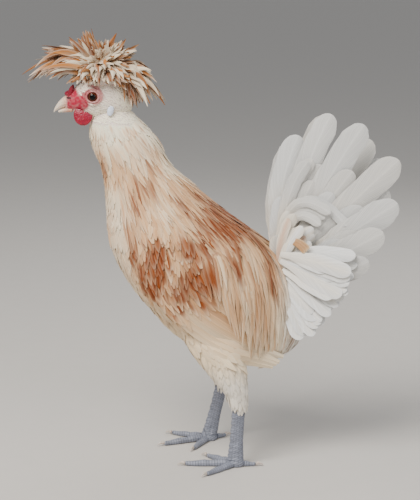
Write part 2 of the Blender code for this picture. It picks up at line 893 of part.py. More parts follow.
def wing_plumes(under, draw):
    """Flight feathers, lowest first, then the rows of coverts up to the shoulder."""
    plumes = []
    tree = tree_of(*under)
    for rx, rz, mx, mz, tx, tz in FLIGHTS:
        root, middle, tip = Vector((rx, rz)), Vector((mx, mz)), Vector((tx, tz))
        line = [bend(root, middle, tip, t) for t in np.linspace(0, 1, 10)]
        path, normals = draped(tree, line, -1.0, 2.7)
        normals = rolled(path, normals, -8)
        plumes.append(feather(path, normals, QUILL, FLIGHT_WIDTH, 1.2))
    for fx, fz, lx, lz, count, length, width in COVERT_ROWS:
        tree = tree_of(*under, *[vane(plume) for plume in plumes])
        for i in range(count):
            t = i / (count - 1)
            x = fx + (lx - fx) * t + draw.uniform(-1, 1)
            z = fz + (lz - fz) * t + draw.uniform(-1, 1)
            fall = math.radians(-68 + 0.22 * (x + 80) + draw.uniform(-3, 3))
            long = length * draw.uniform(0.94, 1.06)
            step = Vector((math.cos(fall), math.sin(fall))) * long
            line = [Vector((x, z)) + step * u for u in np.linspace(0, 1, 8)]
            path, normals = draped(tree, line, -0.8, 1.9)
            plumes.append(feather(path, normals, ROUND, width, 1.1))
    return plumes


def fan_feather(root, middle, tip, roll, outline, width, thick, section, camber):
    """A free feather on the left of the tail, its lower edge turned out by roll degrees."""
    path = [bend(root, middle, tip, t) for t in np.linspace(0, 1, 9)]
    normals = []
    for i in range(9):
        ahead = path[min(i + 1, 8)] - path[max(i - 1, 0)]
        out = Vector((0, -1, 0))
        normals.append((out - ahead * out.dot(ahead) / ahead.length_squared).normalized())
    normals = rolled(path, normals, roll)
    return feather(path, normals, outline, width, thick, section, camber)


def tail_plumes():
    """The main fan, the sickles over its root and the soft feathers under it, on the left."""
    plumes = []
    root = Vector((TAIL_ROOT[0], -3, TAIL_ROOT[1]))
    for i, (x, z, y, width, bow) in enumerate(TAIL_FEATHERS):
        start = root + Vector((0.6, -0.3, -2.5)) * i
        tip = Vector((x, -y, z))
        ahead = (tip - start).normalized()
        front = Vector((-ahead.z, 0, ahead.x))
        middle = start.lerp(tip, 0.5) + front * bow + Vector((0, -2.0, 0))
        plumes.append(
            fan_feather(start, middle, tip, 19, QUILL, width, 1.4, CROWNED, 0.1)
        )
    for mx, mz, tx, tz, y, width in SICKLES:
        start = root + Vector((-2, -4, 4))
        middle, tip = Vector((mx, -y, mz)), Vector((tx, -y - 3, tz))
        plumes.append(fan_feather(start, middle, tip, 4, LANCE, width, 1.1, FLAT, 0))
    for rx, rz, tx, tz, y, width in UNDER_TAIL:
        start, tip = Vector((rx, -y * 0.3, rz)), Vector((tx, -y, tz))
        middle = start.lerp(tip, 0.5) + Vector((2, -3, 3))
        plumes.append(fan_feather(start, middle, tip, 12, ROUND, width, 1.4, FLAT, 0))
    return plumes


def eye_balls(grow=0.0):
    return [eye_form(side, grow) for side in (LEFT, RIGHT)]


def cere_balls(grow=0.0):
    made = []
    for _, at in both_sides(CERE_AT):
        made.append(ball("cere", at, CERE_SIZE, grow, rings=6, sides=8))
    return made


def build_head():
    head = boolean(head_form(), lid_rings() + cere_balls(), "UNION")
    mouth = ball("mouth", MOUTH_AT, MOUTH_SIZE, rings=6, sides=8)
    beaks = [beak_form("beak", BEAK_UPPER, GAP), beak_form("beak", BEAK_LOWER, GAP)]
    boolean(head, beaks + eye_balls(GAP) + [mouth], "DIFFERENCE")
    finish(head, "head", PLUMAGE)

    upper = beak_form("beak_upper", BEAK_UPPER)
    nostrils = []
    for _, at in both_sides(NOSTRIL_AT):
        nostrils.append(ball("nostril", at, NOSTRIL_SIZE, rings=6, sides=8))
    boolean(upper, nostrils, "DIFFERENCE")
    finish(upper, "beak_upper", HORN)
    lower = beak_form("beak_lower", BEAK_LOWER)
    boolean(lower, [beak_form("beak", BEAK_UPPER, GAP)], "DIFFERENCE")
    finish(lower, "beak_lower", HORN)

    horns = comb_forms()
    base = ball("base", COMB_BASE_AT, COMB_BASE_SIZE, rings=6, sides=10)
    comb = boolean(horns[0], horns[1:] + [base], "UNION")
    cutters = [head_form(GAP), beak_form("beak", BEAK_UPPER, GAP)] + cere_balls(GAP)
    boolean(comb, cutters, "DIFFERENCE")
    finish(comb, "comb", RED_SKIN)

    for side in (LEFT, RIGHT):
        word = side_name(side)
        finish(eye_form(side), "eye_" + word, EYE_GLOSS)
        wattle = wattle_form(side)
        cutters = [head_form(GAP), neck_form(GAP), beak_form("beak", BEAK_LOWER, GAP)]
        boolean(wattle, cutters, "DIFFERENCE")
        finish(wattle, "wattle_" + word, RED_SKIN)
        lobe = lobe_form(side)
        boolean(lobe, [head_form(GAP), neck_form(GAP)], "DIFFERENCE")
        finish(lobe, "earlobe_" + word, LOBE_SKIN)


def both_vanes(plumes, grow=0.0):
    """The feathers of the left side and their mirror images."""
    return vanes(plumes, grow) + vanes(plumes, grow, mirror=True)


def build_feathers(draw):
    """Crest, cape, back, wings and tail, each fused and cut clear of the others."""
    skin, thigh_skin = loft(body_rings()), thigh_mesh(LEFT)
    core = wing_core(tree_of(skin, thigh_skin))
    flights = wing_plumes((skin, thigh_skin, core), draw)
    wings = []
    for side in (LEFT, RIGHT):
        mirror = side == RIGHT
        wing = shape("wing_" + side_name(side), *core, mirror)
        wings.append(boolean(wing, vanes(flights, 0, mirror), "UNION"))
    clothed = [skin, mesh_of(wings[0])]
    hackles = hackle_plumes(clothed, draw)
    saddles = saddle_plumes(clothed, draw)
    crest_feathers = crest_plumes(draw)
    tail_feathers = tail_plumes()

    crest = boolean(dome_form(1.5), vanes(crest_feathers), "UNION")
    cutters = [head_form(GAP), neck_form(GAP)] + comb_forms(GAP)
    cutters += lid_rings(GAP) + eye_balls(GAP) + both_vanes(hackles, GAP)
    boolean(crest, cutters, "DIFFERENCE")
    finish(crest, "crest", BUFF)

    neck = boolean(neck_form(), both_vanes(hackles), "UNION")
    boolean(neck, [head_form(GAP), dome_form(1.5 + GAP)], "DIFFERENCE")
    finish(neck, "neck", PLUMAGE)

    torso = boolean(torso_form(), both_vanes(saddles), "UNION")
    boolean(torso, both_vanes(hackles, GAP), "DIFFERENCE")
    finish(torso, "torso", PLUMAGE)

    tail = ball("tail", TAIL_CORE_AT, TAIL_CORE_SIZE, rings=8, sides=10)
    boolean(tail, both_vanes(tail_feathers), "UNION")
    boolean(tail, [torso_form(GAP)] + both_vanes(saddles, GAP), "DIFFERENCE")
    finish(tail, "tail", WHITE)

    for side, wing in zip((LEFT, RIGHT), wings):
        mirror = side == RIGHT
        over = vanes(hackles, GAP, mirror) + vanes(saddles, GAP, mirror)
        under = [torso_form(GAP), neck_form(GAP), thigh_form(side, GAP)]
        boolean(wing, under + over, "DIFFERENCE")
        finish(wing, "wing_" + side_name(side), BUFF)
        thigh = thigh_form(side)
        boolean(thigh, [torso_form(GAP)] + vanes(saddles, GAP, mirror), "DIFFERENCE")
        finish(thigh, "thigh_" + side_name(side), PLUMAGE)


def build_feet():
    for side in (LEFT, RIGHT):
        word = side_name(side)
        shank = shank_form(side)
        boolean(shank, [thigh_form(side, GAP)], "DIFFERENCE")
        finish(shank, "shank_" + word, SCALE)
        for toe in TOES:
            digit = toe_form(side, toe)
            cutters = [shank_form(side, GAP + SCUTE_RISE)]
            if toe in ("outer", "inner"):
                cutters.append(toe_form(side, "middle", GAP))
            boolean(digit, cutters, "DIFFERENCE")
            finish(digit, f"toe_{toe}_{word}", SCALE)
            claw = claw_form(side, toe)
            boolean(claw, [toe_form(side, toe, GAP)], "DIFFERENCE")
            finish(claw, f"claw_{toe}_{word}", HORN)


def centre_on_floor():
    """Moves all the nodes so that the origin is the bottom centre of their box."""
    nodes = [o for o in bpy.data.objects if o.type == "MESH"]
    points = [v.co for o in nodes for v in o.data.vertices]
    low = Vector([min(p[k] for p in points) for k in range(3)])
    high = Vector([max(p[k] for p in points) for k in range(3)])
    shift = Vector((-(low.x + high.x) / 2, -(low.y + high.y) / 2, -low.z))
    for node in nodes:
        node.data.transform(Matrix.Translation(shift))


for old in list(bpy.data.objects):
    bpy.data.objects.remove(old)
build_head()
build_feathers(random.Random(11))
build_feet()
centre_on_floor()
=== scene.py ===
"""A Polish cockerel: skin, feathers, face, legs and a plain studio, built round its solids."""

import math
import random
from contextlib import contextmanager

import bpy
import numpy as np
from bpy.props import FloatProperty, FloatVectorProperty, IntProperty, PointerProperty
from mathutils import Matrix, Vector, noise
from mathutils.bvhtree import BVHTree


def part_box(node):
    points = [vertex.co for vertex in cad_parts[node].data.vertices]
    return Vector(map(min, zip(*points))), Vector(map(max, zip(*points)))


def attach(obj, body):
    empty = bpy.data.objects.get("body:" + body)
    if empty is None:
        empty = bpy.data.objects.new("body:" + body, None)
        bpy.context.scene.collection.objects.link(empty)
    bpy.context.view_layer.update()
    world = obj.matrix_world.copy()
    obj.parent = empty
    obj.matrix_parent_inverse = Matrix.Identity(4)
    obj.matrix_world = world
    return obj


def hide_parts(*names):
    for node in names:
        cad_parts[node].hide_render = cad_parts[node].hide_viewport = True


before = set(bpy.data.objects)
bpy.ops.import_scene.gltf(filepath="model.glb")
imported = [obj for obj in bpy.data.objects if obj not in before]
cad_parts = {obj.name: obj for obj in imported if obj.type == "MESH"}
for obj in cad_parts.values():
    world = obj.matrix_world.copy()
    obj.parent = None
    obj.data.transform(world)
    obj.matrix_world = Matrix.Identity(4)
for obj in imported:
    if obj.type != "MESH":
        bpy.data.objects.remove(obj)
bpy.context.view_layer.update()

bl_info = {
    "name": "Polish cockerel",
    "version": (1, 0, 0),
    "blender": (4, 5, 0),
    "location": "3D View > Sidebar > Cockerel",
    "description": "Dresses a standing crested cockerel in skin, feathers and horn",
    "category": "Add Mesh",
}

MM = 0.001
LEFT, RIGHT = -1, 1
SIDES = ((LEFT, "left"), (RIGHT, "right"))
EYE = (-120.7, 12.6, 366.0)
EYE_RADIUS = 6.9

# Body from nape to vent in millimetres: belly x, z, back x, z, half width
BODY = (
    (-124, 347, -88, 356, 16), (-128, 333, -76, 345, 21), (-124.5, 314, -58, 324, 26),
    (-115, 290, -45, 297, 29), (-112, 257, -20, 275, 38), (-109, 220, 8, 251, 48),
    (-93, 184, 30, 235, 54), (-68, 151, 48, 220, 56), (-42, 124, 62, 206, 53),
    (-4, 102, 76, 184, 44), (42, 98, 86, 152, 30), (70, 112, 84, 128, 12),
)
# Head from the back of the skull to the beak: x, middle z, half height, half width
HEAD = (
    (-84, 362, 9, 8), (-88, 364, 17, 13.5), (-98, 366, 24, 18.5),
    (-111, 367, 25, 19.5), (-122, 366, 22.5, 17.5), (-132, 364, 17, 13.5),
    (-140, 361.5, 12.5, 9.5), (-147, 359.5, 9, 7), (-149, 359, 6, 4.5),
)
# Leg from the flank to the hock: x, y, z, half length, half width
THIGH = (
    (-6, 28, 152, 33, 16), (-3, 35, 128, 31.5, 18), (6, 40, 105, 24, 16.5),
    (13, 42.5, 89, 17.5, 13.5), (18.5, 43, 77, 12.5, 11), (21.5, 42, 66, 9, 8.2),
    (22, 42, 60, 6.5, 6),
)
LEG_SHIFT, LEG_LEAN, SHANK_TOP = -27.0, 12.0, 66.0
# Heights in millimetres below which thigh feathers hang free, and where the coat ends
HOCK, COAT_END = 77, 63
# Folded wing: upper x, z, lower x, z, thickness
WING = (
    (-74, 256, -80, 232, 4.5), (-44, 254, -77, 200, 7.5), (-15, 233, -65, 174, 8.5),
    (13, 208, -40, 145, 8.5), (38, 184, -10, 123, 8.0), (58, 154, 22, 103, 7.0),
    (66, 121, 48, 99, 5.0),
)
# Flight feathers, lowest first: root x, z, middle x, z, tip x, z
FLIGHTS = (
    (-64, 178, -30, 122, 54, 99), (-56, 186, -15, 132, 63, 107),
    (-46, 193, -1, 143, 69, 117), (-34, 200, 13, 154, 73, 129),
    (-22, 207, 26, 166, 76, 142), (-9, 214, 38, 178, 77, 156),
)
# Coverts from the flights up: first root x, z, last root x, z, count, length, width
COVERTS = (
    (-71, 182, 6, 204, 26, 44, 9), (-73, 191, 0, 213, 27, 39, 8.5),
    (-75, 199, -7, 220, 26, 34, 8), (-76, 206, -14, 226, 24, 31, 7.5),
    (-77, 213, -20, 231, 23, 28, 7.5), (-77, 220, -27, 236, 21, 26, 7),
    (-77, 228, -34, 241, 18, 24, 7), (-76, 236, -42, 246, 15, 22, 6.5),
    (-75, 244, -50, 252, 12, 20, 6.5),
)
# Main tail feathers from the front back, left and right in turn: tip x, z, y, width, bow
TAIL_ROOT = (66, 194)
TAIL_FAN = (
    (80, 327, 3, 26, 20), (76, 319, 4, 26, 22), (112, 348, 6, 26, 16),
    (109, 345, 7, 26, 17), (144, 338, 10, 29, 11), (154, 320, 12, 29, 10),
    (178, 304, 15, 30, 6), (170, 298, 17, 30, 6), (177, 262, 21, 31, 2),
    (173, 268, 22, 31, 2), (163, 234, 27, 29, -3), (160, 240, 28, 29, -3),
    (149, 206, 32, 26, -6), (145, 209, 33, 26, -6),
)
# Layers of the fan: level from its face outwards, share of the length, turn
FAN_LAYERS = ((0, 1.0, 0.0), (1, 0.68, -0.5), (2, 0.56, 0.1))
# Broad curved feathers over the tail's root: middle x, z, tip x, z, y, width
SICKLES = (
    (66, 272, 94, 304, 8, 14), (62, 262, 80, 292, 8, 12), (74, 302, 128, 238, 13, 11),
    (68, 288, 118, 250, 12, 11), (72, 274, 106, 246, 14, 10),
)
# Loose feathers on each side: tail coverts, fluff under the tail, crown under the tufts
TAIL_COVERTS, TAIL_FLUFF, CROWN = 70, 230, 230
# Knob of the skull that carries the crest, as its feathers' outline, and how full the knob is
DOME_AT, DOME_SIZE, KNOB = (-109, 0, 384), (28, 21.5, 20), 0.84
CREST_TOP = 430
# Crest tufts: root x, z, tip x, z, reach to the side, bow, pairs of feathers a side, warmth
TUFTS = (
    (-120, 397, -169, 410, 8, 5, 7, 0.75), (-122, 395, -182, 385, 13, 20, 9, 0.8),
    (-124, 390, -163, 387, 24, 9, 7, 0.7), (-123, 396, -152, 403, 10, 8, 5, 0.4),
    (-122, 399, -142, 420, 7, 2, 6, 0.7), (-117, 401, -128, 428, 6, 0, 6, 0.95),
    (-112, 402, -115, 415, 12, 2, 5, 0.05), (-106, 401, -90, 427, 6, -2, 2, 1.0),
    (-106, 401, -99, 413, 14, 2, 5, 0.3), (-98, 398, -82, 408, 14, 4, 5, 0.6),
    (-92, 392, -66, 388, 17, 8, 7, 0.1), (-89, 388, -64, 372, 18, 10, 6, 0.4),
    (-88, 386, -58, 361, 15, 12, 4, 0.3), (-90, 380, -82, 357, 26, 9, 10, 0.85),
    (-86, 380, -70, 362, 14, 9, 8, 0.7), (-120, 388, -132, 388, 40, 9, 6, 0.35),
    (-112, 390, -114, 391, 46, 10, 6, 0.25), (-101, 389, -92, 384, 44, 9, 7, 0.5),
)
# Rusty patches, alike on each side, in millimetres: x, z, reach x, reach z, strength
PATCHES = (
    (-56, 213, 12, 16, 1.0), (-62, 192, 13, 11, 1.05), (-80, 211, 4, 13, 0.8),
    (-79, 232, 6, 8, 0.4), (-68, 178, 5, 9, 0.9), (-53, 180, 8, 10, 0.9),
    (-43, 169, 6, 10, 0.9), (-39, 189, 7, 13, 0.5), (-22, 219, 17, 8, 0.85),
    (-6, 225, 5, 12, 0.85), (-27, 232, 10, 4, 0.45), (-22, 186, 14, 14, 1.1),
    (-6, 190, 6, 13, 1.05), (-8, 165, 8, 5, 0.75), (-23, 150, 10, 4, 0.5),
    (8, 244, 20, 11, 1.05), (28, 235, 19, 9, 1.0), (18, 221, 11, 8, 0.8),
    (46, 222, 12, 5, 0.8), (23, 197, 5, 6, 0.8), (54, 177, 5, 9, 0.8),
    (54, 201, 5, 17, 0.6), (43, 153, 8, 17, 0.55), (20, 160, 6, 18, 0.5),
    (5, 150, 6, 12, 0.35), (-76, 264, 6, 16, 0.65), (-63, 273, 5, 11, 0.6),
    (-30, 256, 5, 9, 0.75), (-21, 269, 10, 5, 0.65), (-44, 262, 5, 9, 0.35),
    (-115, 292, 8, 15, 0.6), (-94, 290, 8, 12, 0.45), (-59, 290, 5, 10, 0.5),
    (-106, 231, 5, 12, 0.25), (-80, 316, 7, 12, 0.3), (-63, 305, 6, 7, 0.4),
    (-50, 212, 32, 26, 0.3), (-12, 198, 28, 36, 0.3), (26, 216, 40, 24, 0.3),
    (-30, 160, 26, 16, 0.22),
)


def display(*channels):
    """A colour given as it shows on a screen, from 0 to 255, in linear light."""
    return tuple(((c / 255 + 0.055) / 1.055) ** 2.4 for c in channels)


PALE = display(246, 236, 218)
YELLOW_CREAM = display(238, 212, 160)
NECK_CREAM = display(255, 247, 220)
TAIL_WHITE = display(238, 238, 236)
FACE_PINK = display(238, 214, 202)
DEEP_RUST = display(96, 34, 0)
CREST_BROWN = display(156, 104, 60)
NOSTRIL = display(70, 8, 18)


def find_shift():
    """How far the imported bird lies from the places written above."""
    low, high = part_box("eye_left")
    return (low + high) / 2 - Vector((EYE[0], -EYE[1], EYE[2])) * MM


SHIFT = find_shift()


class PlumageSettings(bpy.types.PropertyGroup):
    cream: FloatVectorProperty(
        name="Cream", description="Ground colour of the body feathers",
        subtype="COLOR", default=display(238, 214, 176), min=0, max=1,
    )
    buff: FloatVectorProperty(
        name="Buff", description="Light warm colour of streaks and lacing",
        subtype="COLOR", default=display(206, 128, 36), min=0, max=1,
    )
    rust: FloatVectorProperty(
        name="Rust", description="Deep warm colour of the patches on wing and back",
        subtype="COLOR", default=display(134, 60, 0), min=0, max=1,
    )
    depth: FloatProperty(
        name="Coat depth",
        description="How far the skin lies inside the outline of the feathers",
        unit="LENGTH", default=0.0024, min=0.001, max=0.006,
    )
    fineness: FloatProperty(
        name="Fineness",
        description="Size of the body feathers and the gaps between their roots",
        subtype="FACTOR", default=0.86, min=0.6, max=1.4,
    )
    tousle: FloatProperty(
        name="Tousle", description="How far single feathers stray from the lie of the coat",
        subtype="FACTOR", default=1.0, min=0, max=2,
    )
    crest: FloatProperty(
        name="Crest length", description="Length of the crest feathers against the usual one",
        subtype="FACTOR", default=1.0, min=0.5, max=1.2,
    )
    seed: IntProperty(
        name="Seed", description="Another number gives another fall of the feathers",
        default=7, min=1,
    )


class SkinSettings(bpy.types.PropertyGroup):
    red: FloatVectorProperty(
        name="Red skin", description="Bare skin of the face, comb and wattles",
        subtype="COLOR", default=display(172, 2, 52), min=0, max=1,
    )
    lobe: FloatVectorProperty(
        name="Ear lobe", description="Bluish white skin under the ear",
        subtype="COLOR", default=display(226, 234, 250), min=0, max=1,
    )
    iris: FloatVectorProperty(
        name="Iris", description="Ring round the pupil",
        subtype="COLOR", default=display(88, 38, 20), min=0, max=1,
    )
    horn: FloatVectorProperty(
        name="Horn", description="Beak and claws",
        subtype="COLOR", default=display(232, 212, 192), min=0, max=1,
    )
    scale: FloatVectorProperty(
        name="Scales", description="Shanks and toes",
        subtype="COLOR", default=display(134, 138, 152), min=0, max=1,
    )


class StudioSettings(bpy.types.PropertyGroup):
    floor: FloatVectorProperty(
        name="Floor", description="Plain pale floor",
        subtype="COLOR", default=display(200, 195, 188), min=0, max=1,
    )
    key: FloatProperty(
        name="Key light", description="Power of the large light over the bird",
        unit="POWER", default=54.0, min=0,
    )
    fill: FloatProperty(
        name="Fill light", description="Power of the light beside the camera",
        unit="POWER", default=10.0, min=0,
    )
    sky: FloatProperty(
        name="Sky", description="Strength of the even light from all sides",
        default=0.44, min=0,
    )
    lens: FloatProperty(
        name="Lens", description="Focal length of the camera",
        unit="CAMERA", default=110.0, min=10,
    )


# Curves and colours


def place(x, y, z):
    """A point given in millimetres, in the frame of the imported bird."""
    return Vector((x, y, z)) * MM + SHIFT


def in_mm(points):
    """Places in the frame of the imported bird, in the millimetres used above."""
    return (points - np.array(SHIFT)) / MM


def smooth_run(rows, count):
    """A Catmull-Rom curve through the rows, read at count even steps."""
    rows = np.array(rows, float)
    padded = np.vstack([2 * rows[0] - rows[1], rows, 2 * rows[-1] - rows[-2]])
    read = []
    for at in np.linspace(0, len(rows) - 1, count):
        i = min(int(at), len(rows) - 2)
        t = at - i
        p0, p1, p2, p3 = padded[i : i + 4]
        square = (2 * p0 - 5 * p1 + 4 * p2 - p3) * t * t
        cube = (3 * p1 - p0 - 3 * p2 + p3) * t**3
        read.append(0.5 * (2 * p1 + (p2 - p0) * t + square + cube))
    return np.array(read)


BODY_ROWS = smooth_run(BODY, 60)
BODY_LAST = len(BODY_ROWS) - 1
WING_ROWS = smooth_run(WING, 40)
THIGH_ROWS = smooth_run(THIGH, 30)


def soft_step(low, high, value):
    """Nought at low and one at high, with an eased run between them."""
    t = np.clip((value - low) / (high - low), 0, 1)
    return t * t * (3 - 2 * t)


def mixed(a, b, t):
    """A colour on the way from a to b."""
    return [p + (q - p) * t for p, q in zip(a, b)]


def scaled(colour, by):
    return [c * by for c in colour]


def bend(start, middle, end, t):
    """A point on a curve from start to end that is pulled towards middle."""
    return start * (1 - t) ** 2 + middle * 2 * t * (1 - t) + end * t * t


def curve(line, shares):
    """Places at shares of a curve, whose three points are in millimetres."""
    return np.array([place(*bend(*line, t)) for t in shares])


def eased(steps):
    """Shares of a length that draw closer together towards its end."""
    return np.sin(np.linspace(0, math.pi / 2, steps))


def unit_rows(rows):
    return rows / (np.linalg.norm(rows, axis=-1, keepdims=True) + 1e-12)


def strayed(draw, spread):
    """A small random step, alike in all directions."""
    return Vector([draw.gauss(0, spread) for _ in range(3)])


def rustiness(spots):
    """How rusty the coat is at places in millimetres, from soft patches and mottling."""
    spots = np.atleast_2d(spots)
    x, z = spots[:, 0, None], spots[:, 2, None]
    px, pz, rx, rz, strength = np.array(PATCHES, float).T
    far = ((x - px) / rx) ** 2 + ((z - pz) / rz) ** 2
    amount = (strength * np.exp(-0.5 * far)).max(axis=1)
    mottle = [noise.noise(Vector((a * 0.09, b * 0.03, c * 0.05))) for a, b, c in spots.tolist()]
    return np.clip(1.32 * amount * (1 + 0.55 * np.array(mottle)), 0, 1)


def ground_colour(spot, cream):
    """The coat's pale ground: warm on the nape, cool and white by the tail and hocks."""
    x, _, z = spot
    yellow = float(soft_step(270, 335, z)) * 0.2
    neck = float(soft_step(280, 320, z)) * 0.9
    white = float(soft_step(55, 80, x)) * 0.75
    breast = float(soft_step(-60, -110, x) * soft_step(300, 240, z))
    hock = float(soft_step(112, 78, z)) * 0.6
    made = mixed(cream, YELLOW_CREAM, yellow)
    made = mixed(mixed(made, PALE, 0.45 * breast), NECK_CREAM, neck)
    return mixed(made, TAIL_WHITE, max(white, hock))


def white_tones(draw, darkest, cream, rim):
    """Root, middle, edge and tip of a white feather, some of them creamier or darker."""
    shade = draw.uniform(darkest, 1.03)
    white = scaled(mixed(TAIL_WHITE, PALE, draw.random() * cream), shade)
    return PALE, white, scaled(white, rim), white


def oval(x, z, at, reach, soft=0.35):
    """One inside an oval of the face and nought outside it, with a soft edge."""
    far = np.sqrt(((x - at[0]) / reach[0]) ** 2 + ((z - at[1]) / reach[1]) ** 2)
    return soft_step(1 + soft / 2, 1 - soft / 2, far)


def bare_skin(x, z):
    """Where the face is bare and red, from 0 to 1: beak root, lore and a ring round the eye."""
    root = oval(x, z, (-143.5, 363.5), (9, 12), 0.3)
    lore = oval(x, z, (-134, 359.5), (9.5, 8), 0.4)
    brow = oval(x, z, (-127.5, 368), (8, 6), 0.6) * 0.85
    ring = oval(x, z, (-120, 367.5), (10, 9.8), 0.35) * 0.7
    return np.maximum(np.maximum(root, lore), np.maximum(brow, ring))


def nearest_row(points, low, high):
    """For places in millimetres: the nearest line from low to high, share up it, distance."""
    reach = high - low
    away = points[:, None, (0, 2)] - low[None]
    share = (away * reach).sum(2) / (reach**2).sum(1)
    far = ((away - reach * np.clip(share, 0, 1)[..., None]) ** 2).sum(2)
    at = far.argmin(1)
    return at, share[np.arange(len(points)), at], far.min(1)


def trunk_places(points):
    """For places in millimetres: share from nape to vent, height from belly to back, lie."""
    at, height, _ = nearest_row(points, BODY_ROWS[:, (0, 1)], BODY_ROWS[:, (2, 3)])
    height = np.clip(height, 0, 1)
    step = BODY_ROWS[np.minimum(at + 2, BODY_LAST)] - BODY_ROWS[np.maximum(at - 2, 0)]
    low, high = unit_rows(step[:, (0, 1)]), unit_rows(step[:, (2, 3)])
    way = unit_rows(low * (1 - height[:, None]) + high * height[:, None])
    lie = np.stack([way[:, 0], np.zeros(len(way)), way[:, 1]], 1)
    return at / BODY_LAST, height, lie


def trunk_home(points, share, height):
    """Roots on the trunk's unwrap: angle round it across, share along it upwards."""
    half = np.interp(share, np.linspace(0, 1, len(BODY_ROWS)), BODY_ROWS[:, 4])
    angle = np.arctan2(points[:, 1] / half, (height - 0.5) * 2)
    return np.stack([0.5 + angle / math.pi * 0.48, 0.02 + 0.66 * share], 1)


def head_home(points):
    """Roots on the head's unwrap: angle round a standing axis, and height."""
    x, y, z = points[:, 0] + 110, points[:, 1], points[:, 2] - 368
    turn, rise = np.arctan2(y, -x), np.arctan2(z, np.hypot(x, y))
    across = 0.25 + turn / math.pi * 0.22
    return np.stack([across, 0.85 + rise / math.pi * 0.24], 1)


def leg_shift(side, z):
    """How far forward the right leg stands of the left one, at a height in millimetres."""
    return LEG_SHIFT + LEG_LEAN * z / SHANK_TOP if side == RIGHT else 0


def thigh_middle(side, z):
    """Centre and half sizes of a thigh at heights in millimetres."""
    rows = THIGH_ROWS[::-1]
    x, y, a, b = (np.interp(z, rows[:, 2], rows[:, k]) for k in (0, 1, 3, 4))
    return np.stack([x + leg_shift(side, z), side * y, a, b], 1)


def thigh_home(points, side):
    """Roots on a thigh's unwrap: angle round the leg, and height up it."""
    middle = thigh_middle(side, points[:, 2])
    turn = np.arctan2(points[:, 1] - middle[:, 1], points[:, 0] - middle[:, 0])
    across = (0.63 if side == LEFT else 0.87) + turn / math.pi * 0.1
    return np.stack([across, 0.73 + (points[:, 2] - 55) / 110 * 0.24], 1)


def under_wing(points):
    """Which places lie under the folded wing."""
    at, share, far = nearest_row(points, WING_ROWS[:, (2, 3)], WING_ROWS[:, (0, 1)])
    close = (far < 9) & (np.abs(points[:, 1]) > 22)
    return close & (share > 0.14) & (share < 0.86) & (at > 1) & (at < 37)


# Meshes


def named(obj, name):
    """Gives a piece and its mesh one name."""
    obj.name = obj.data.name = name
    return obj


def linked(name, mesh):
    """A new piece in the scene."""
    made = bpy.data.objects.new(name, mesh)
    bpy.context.scene.collection.objects.link(made)
    return made


def added(operator, **values):
    """Adds a plain mesh and leaves only it selected."""
    bpy.ops.object.select_all(action="DESELECT")
    operator(**values)
    return bpy.context.object


@contextmanager
def editing():
    """Edit mode, with all of the active piece selected."""
    bpy.ops.object.mode_set(mode="EDIT")
    bpy.ops.mesh.select_all(action="SELECT")
    yield
    bpy.ops.object.mode_set(mode="OBJECT")


def turned(angle, axis, centre=(0, 0, 0)):
    """Turns what is selected."""
    bpy.ops.transform.rotate(value=angle, orient_axis=axis, center_override=centre)


def extruded(name, rings, sides=32):
    """A closed tube drawn out of a circle through rings of centre, half axis, half width."""
    circle = bpy.ops.mesh.primitive_circle_add
    made = added(circle, vertices=sides, radius=1, fill_type="NGON")
    at, tilt, long, wide = Vector(), 0.0, 1.0, 1.0
    with editing():
        turned(math.radians(90), "Y")
        for i, (centre, reach, half) in enumerate(rings):
            step = centre - at
            if i:
                bpy.ops.mesh.extrude_region_move(TRANSFORM_OT_translate={"value": step})
            else:
                bpy.ops.transform.translate(value=step)
            turn = math.remainder(math.atan2(reach.x, reach.z) - tilt, 2 * math.pi)
            turned(-turn, "Y", centre)
            tilt += turn
            bpy.ops.transform.resize(
                value=(1, half / wide, reach.length / long),
                orient_type="GLOBAL",
                orient_matrix=Matrix.Rotation(tilt, 3, "Y"),
                orient_matrix_type="GLOBAL",
                center_override=centre,
            )
            at, long, wide = centre, reach.length, half
        bpy.ops.mesh.select_all(action="SELECT")
        bpy.ops.mesh.normals_make_consistent(inside=False)
    return named(made, name)


def body_rings(depth):
    """Rings over neck and trunk, drawn in from the outline by the coat's depth."""
    rings = []
    for vx, vz, dx, dz, half in smooth_run(BODY, 44):
        belly, back = place(vx, 0, vz), place(dx, 0, dz)
        reach = (back - belly) / 2
        reach *= max(1 - depth / reach.length, 0.3)
        rings.append(((belly + back) / 2, reach, max(half * MM - depth, 4 * MM)))
    return rings


def head_rings():
    """Rings over the head, drawn in by the depth of its short feathers."""
    depth = 0.9
    return [
        (place(x, 0, z), Vector((0, 0, (tall - depth) * MM)), (half - depth) * MM)
        for x, z, tall, half in smooth_run(HEAD, 24)
    ]


def thigh_rings(side, depth):
    """Rings down a thigh, drawn in less and less towards the hock."""
    rings = []
    for x, y, z, a, b in smooth_run(THIGH, 16):
        thin = depth / MM * 0.7 * min(1, max(0.25, (z - 55) / 40))
        centre = place(x + leg_shift(side, z), side * y, z)
        rings.append((centre, Vector(((a - thin) * MM, 0, 0)), (b - thin) * MM))
    return rings


def wing_rings(side, tree):
    """A flat pad that follows the flank under the folded wing."""
    rings = []
    for i, (ux, uz, lx, lz, thick) in enumerate(smooth_run(WING, 14)):
        upper, lower = place(ux, 0, uz), place(lx, 0, lz)
        centre, reach = (upper + lower) / 2, (upper - lower) / 2
        start = centre + Vector((0, side * 0.2, 0))
        spot = tree.ray_cast(start, Vector((0, -side, 0)))[0]
        out = spot.y if spot else SHIFT.y + side * 0.03
        round_end = math.sin(math.pi * (0.08 + 0.84 * i / 13)) ** 0.5
        centre.y = out - side * 0.003
        rings.append((centre, reach * 0.94, (thick * 0.62 * round_end + 2.5) * MM))
    return rings


def places_of(obj):
    """The places of a piece's vertices, as an array."""
    flat = np.empty(len(obj.data.vertices) * 3, np.float32)
    obj.data.vertices.foreach_get("co", flat)
    return flat.reshape(-1, 3).astype(float)


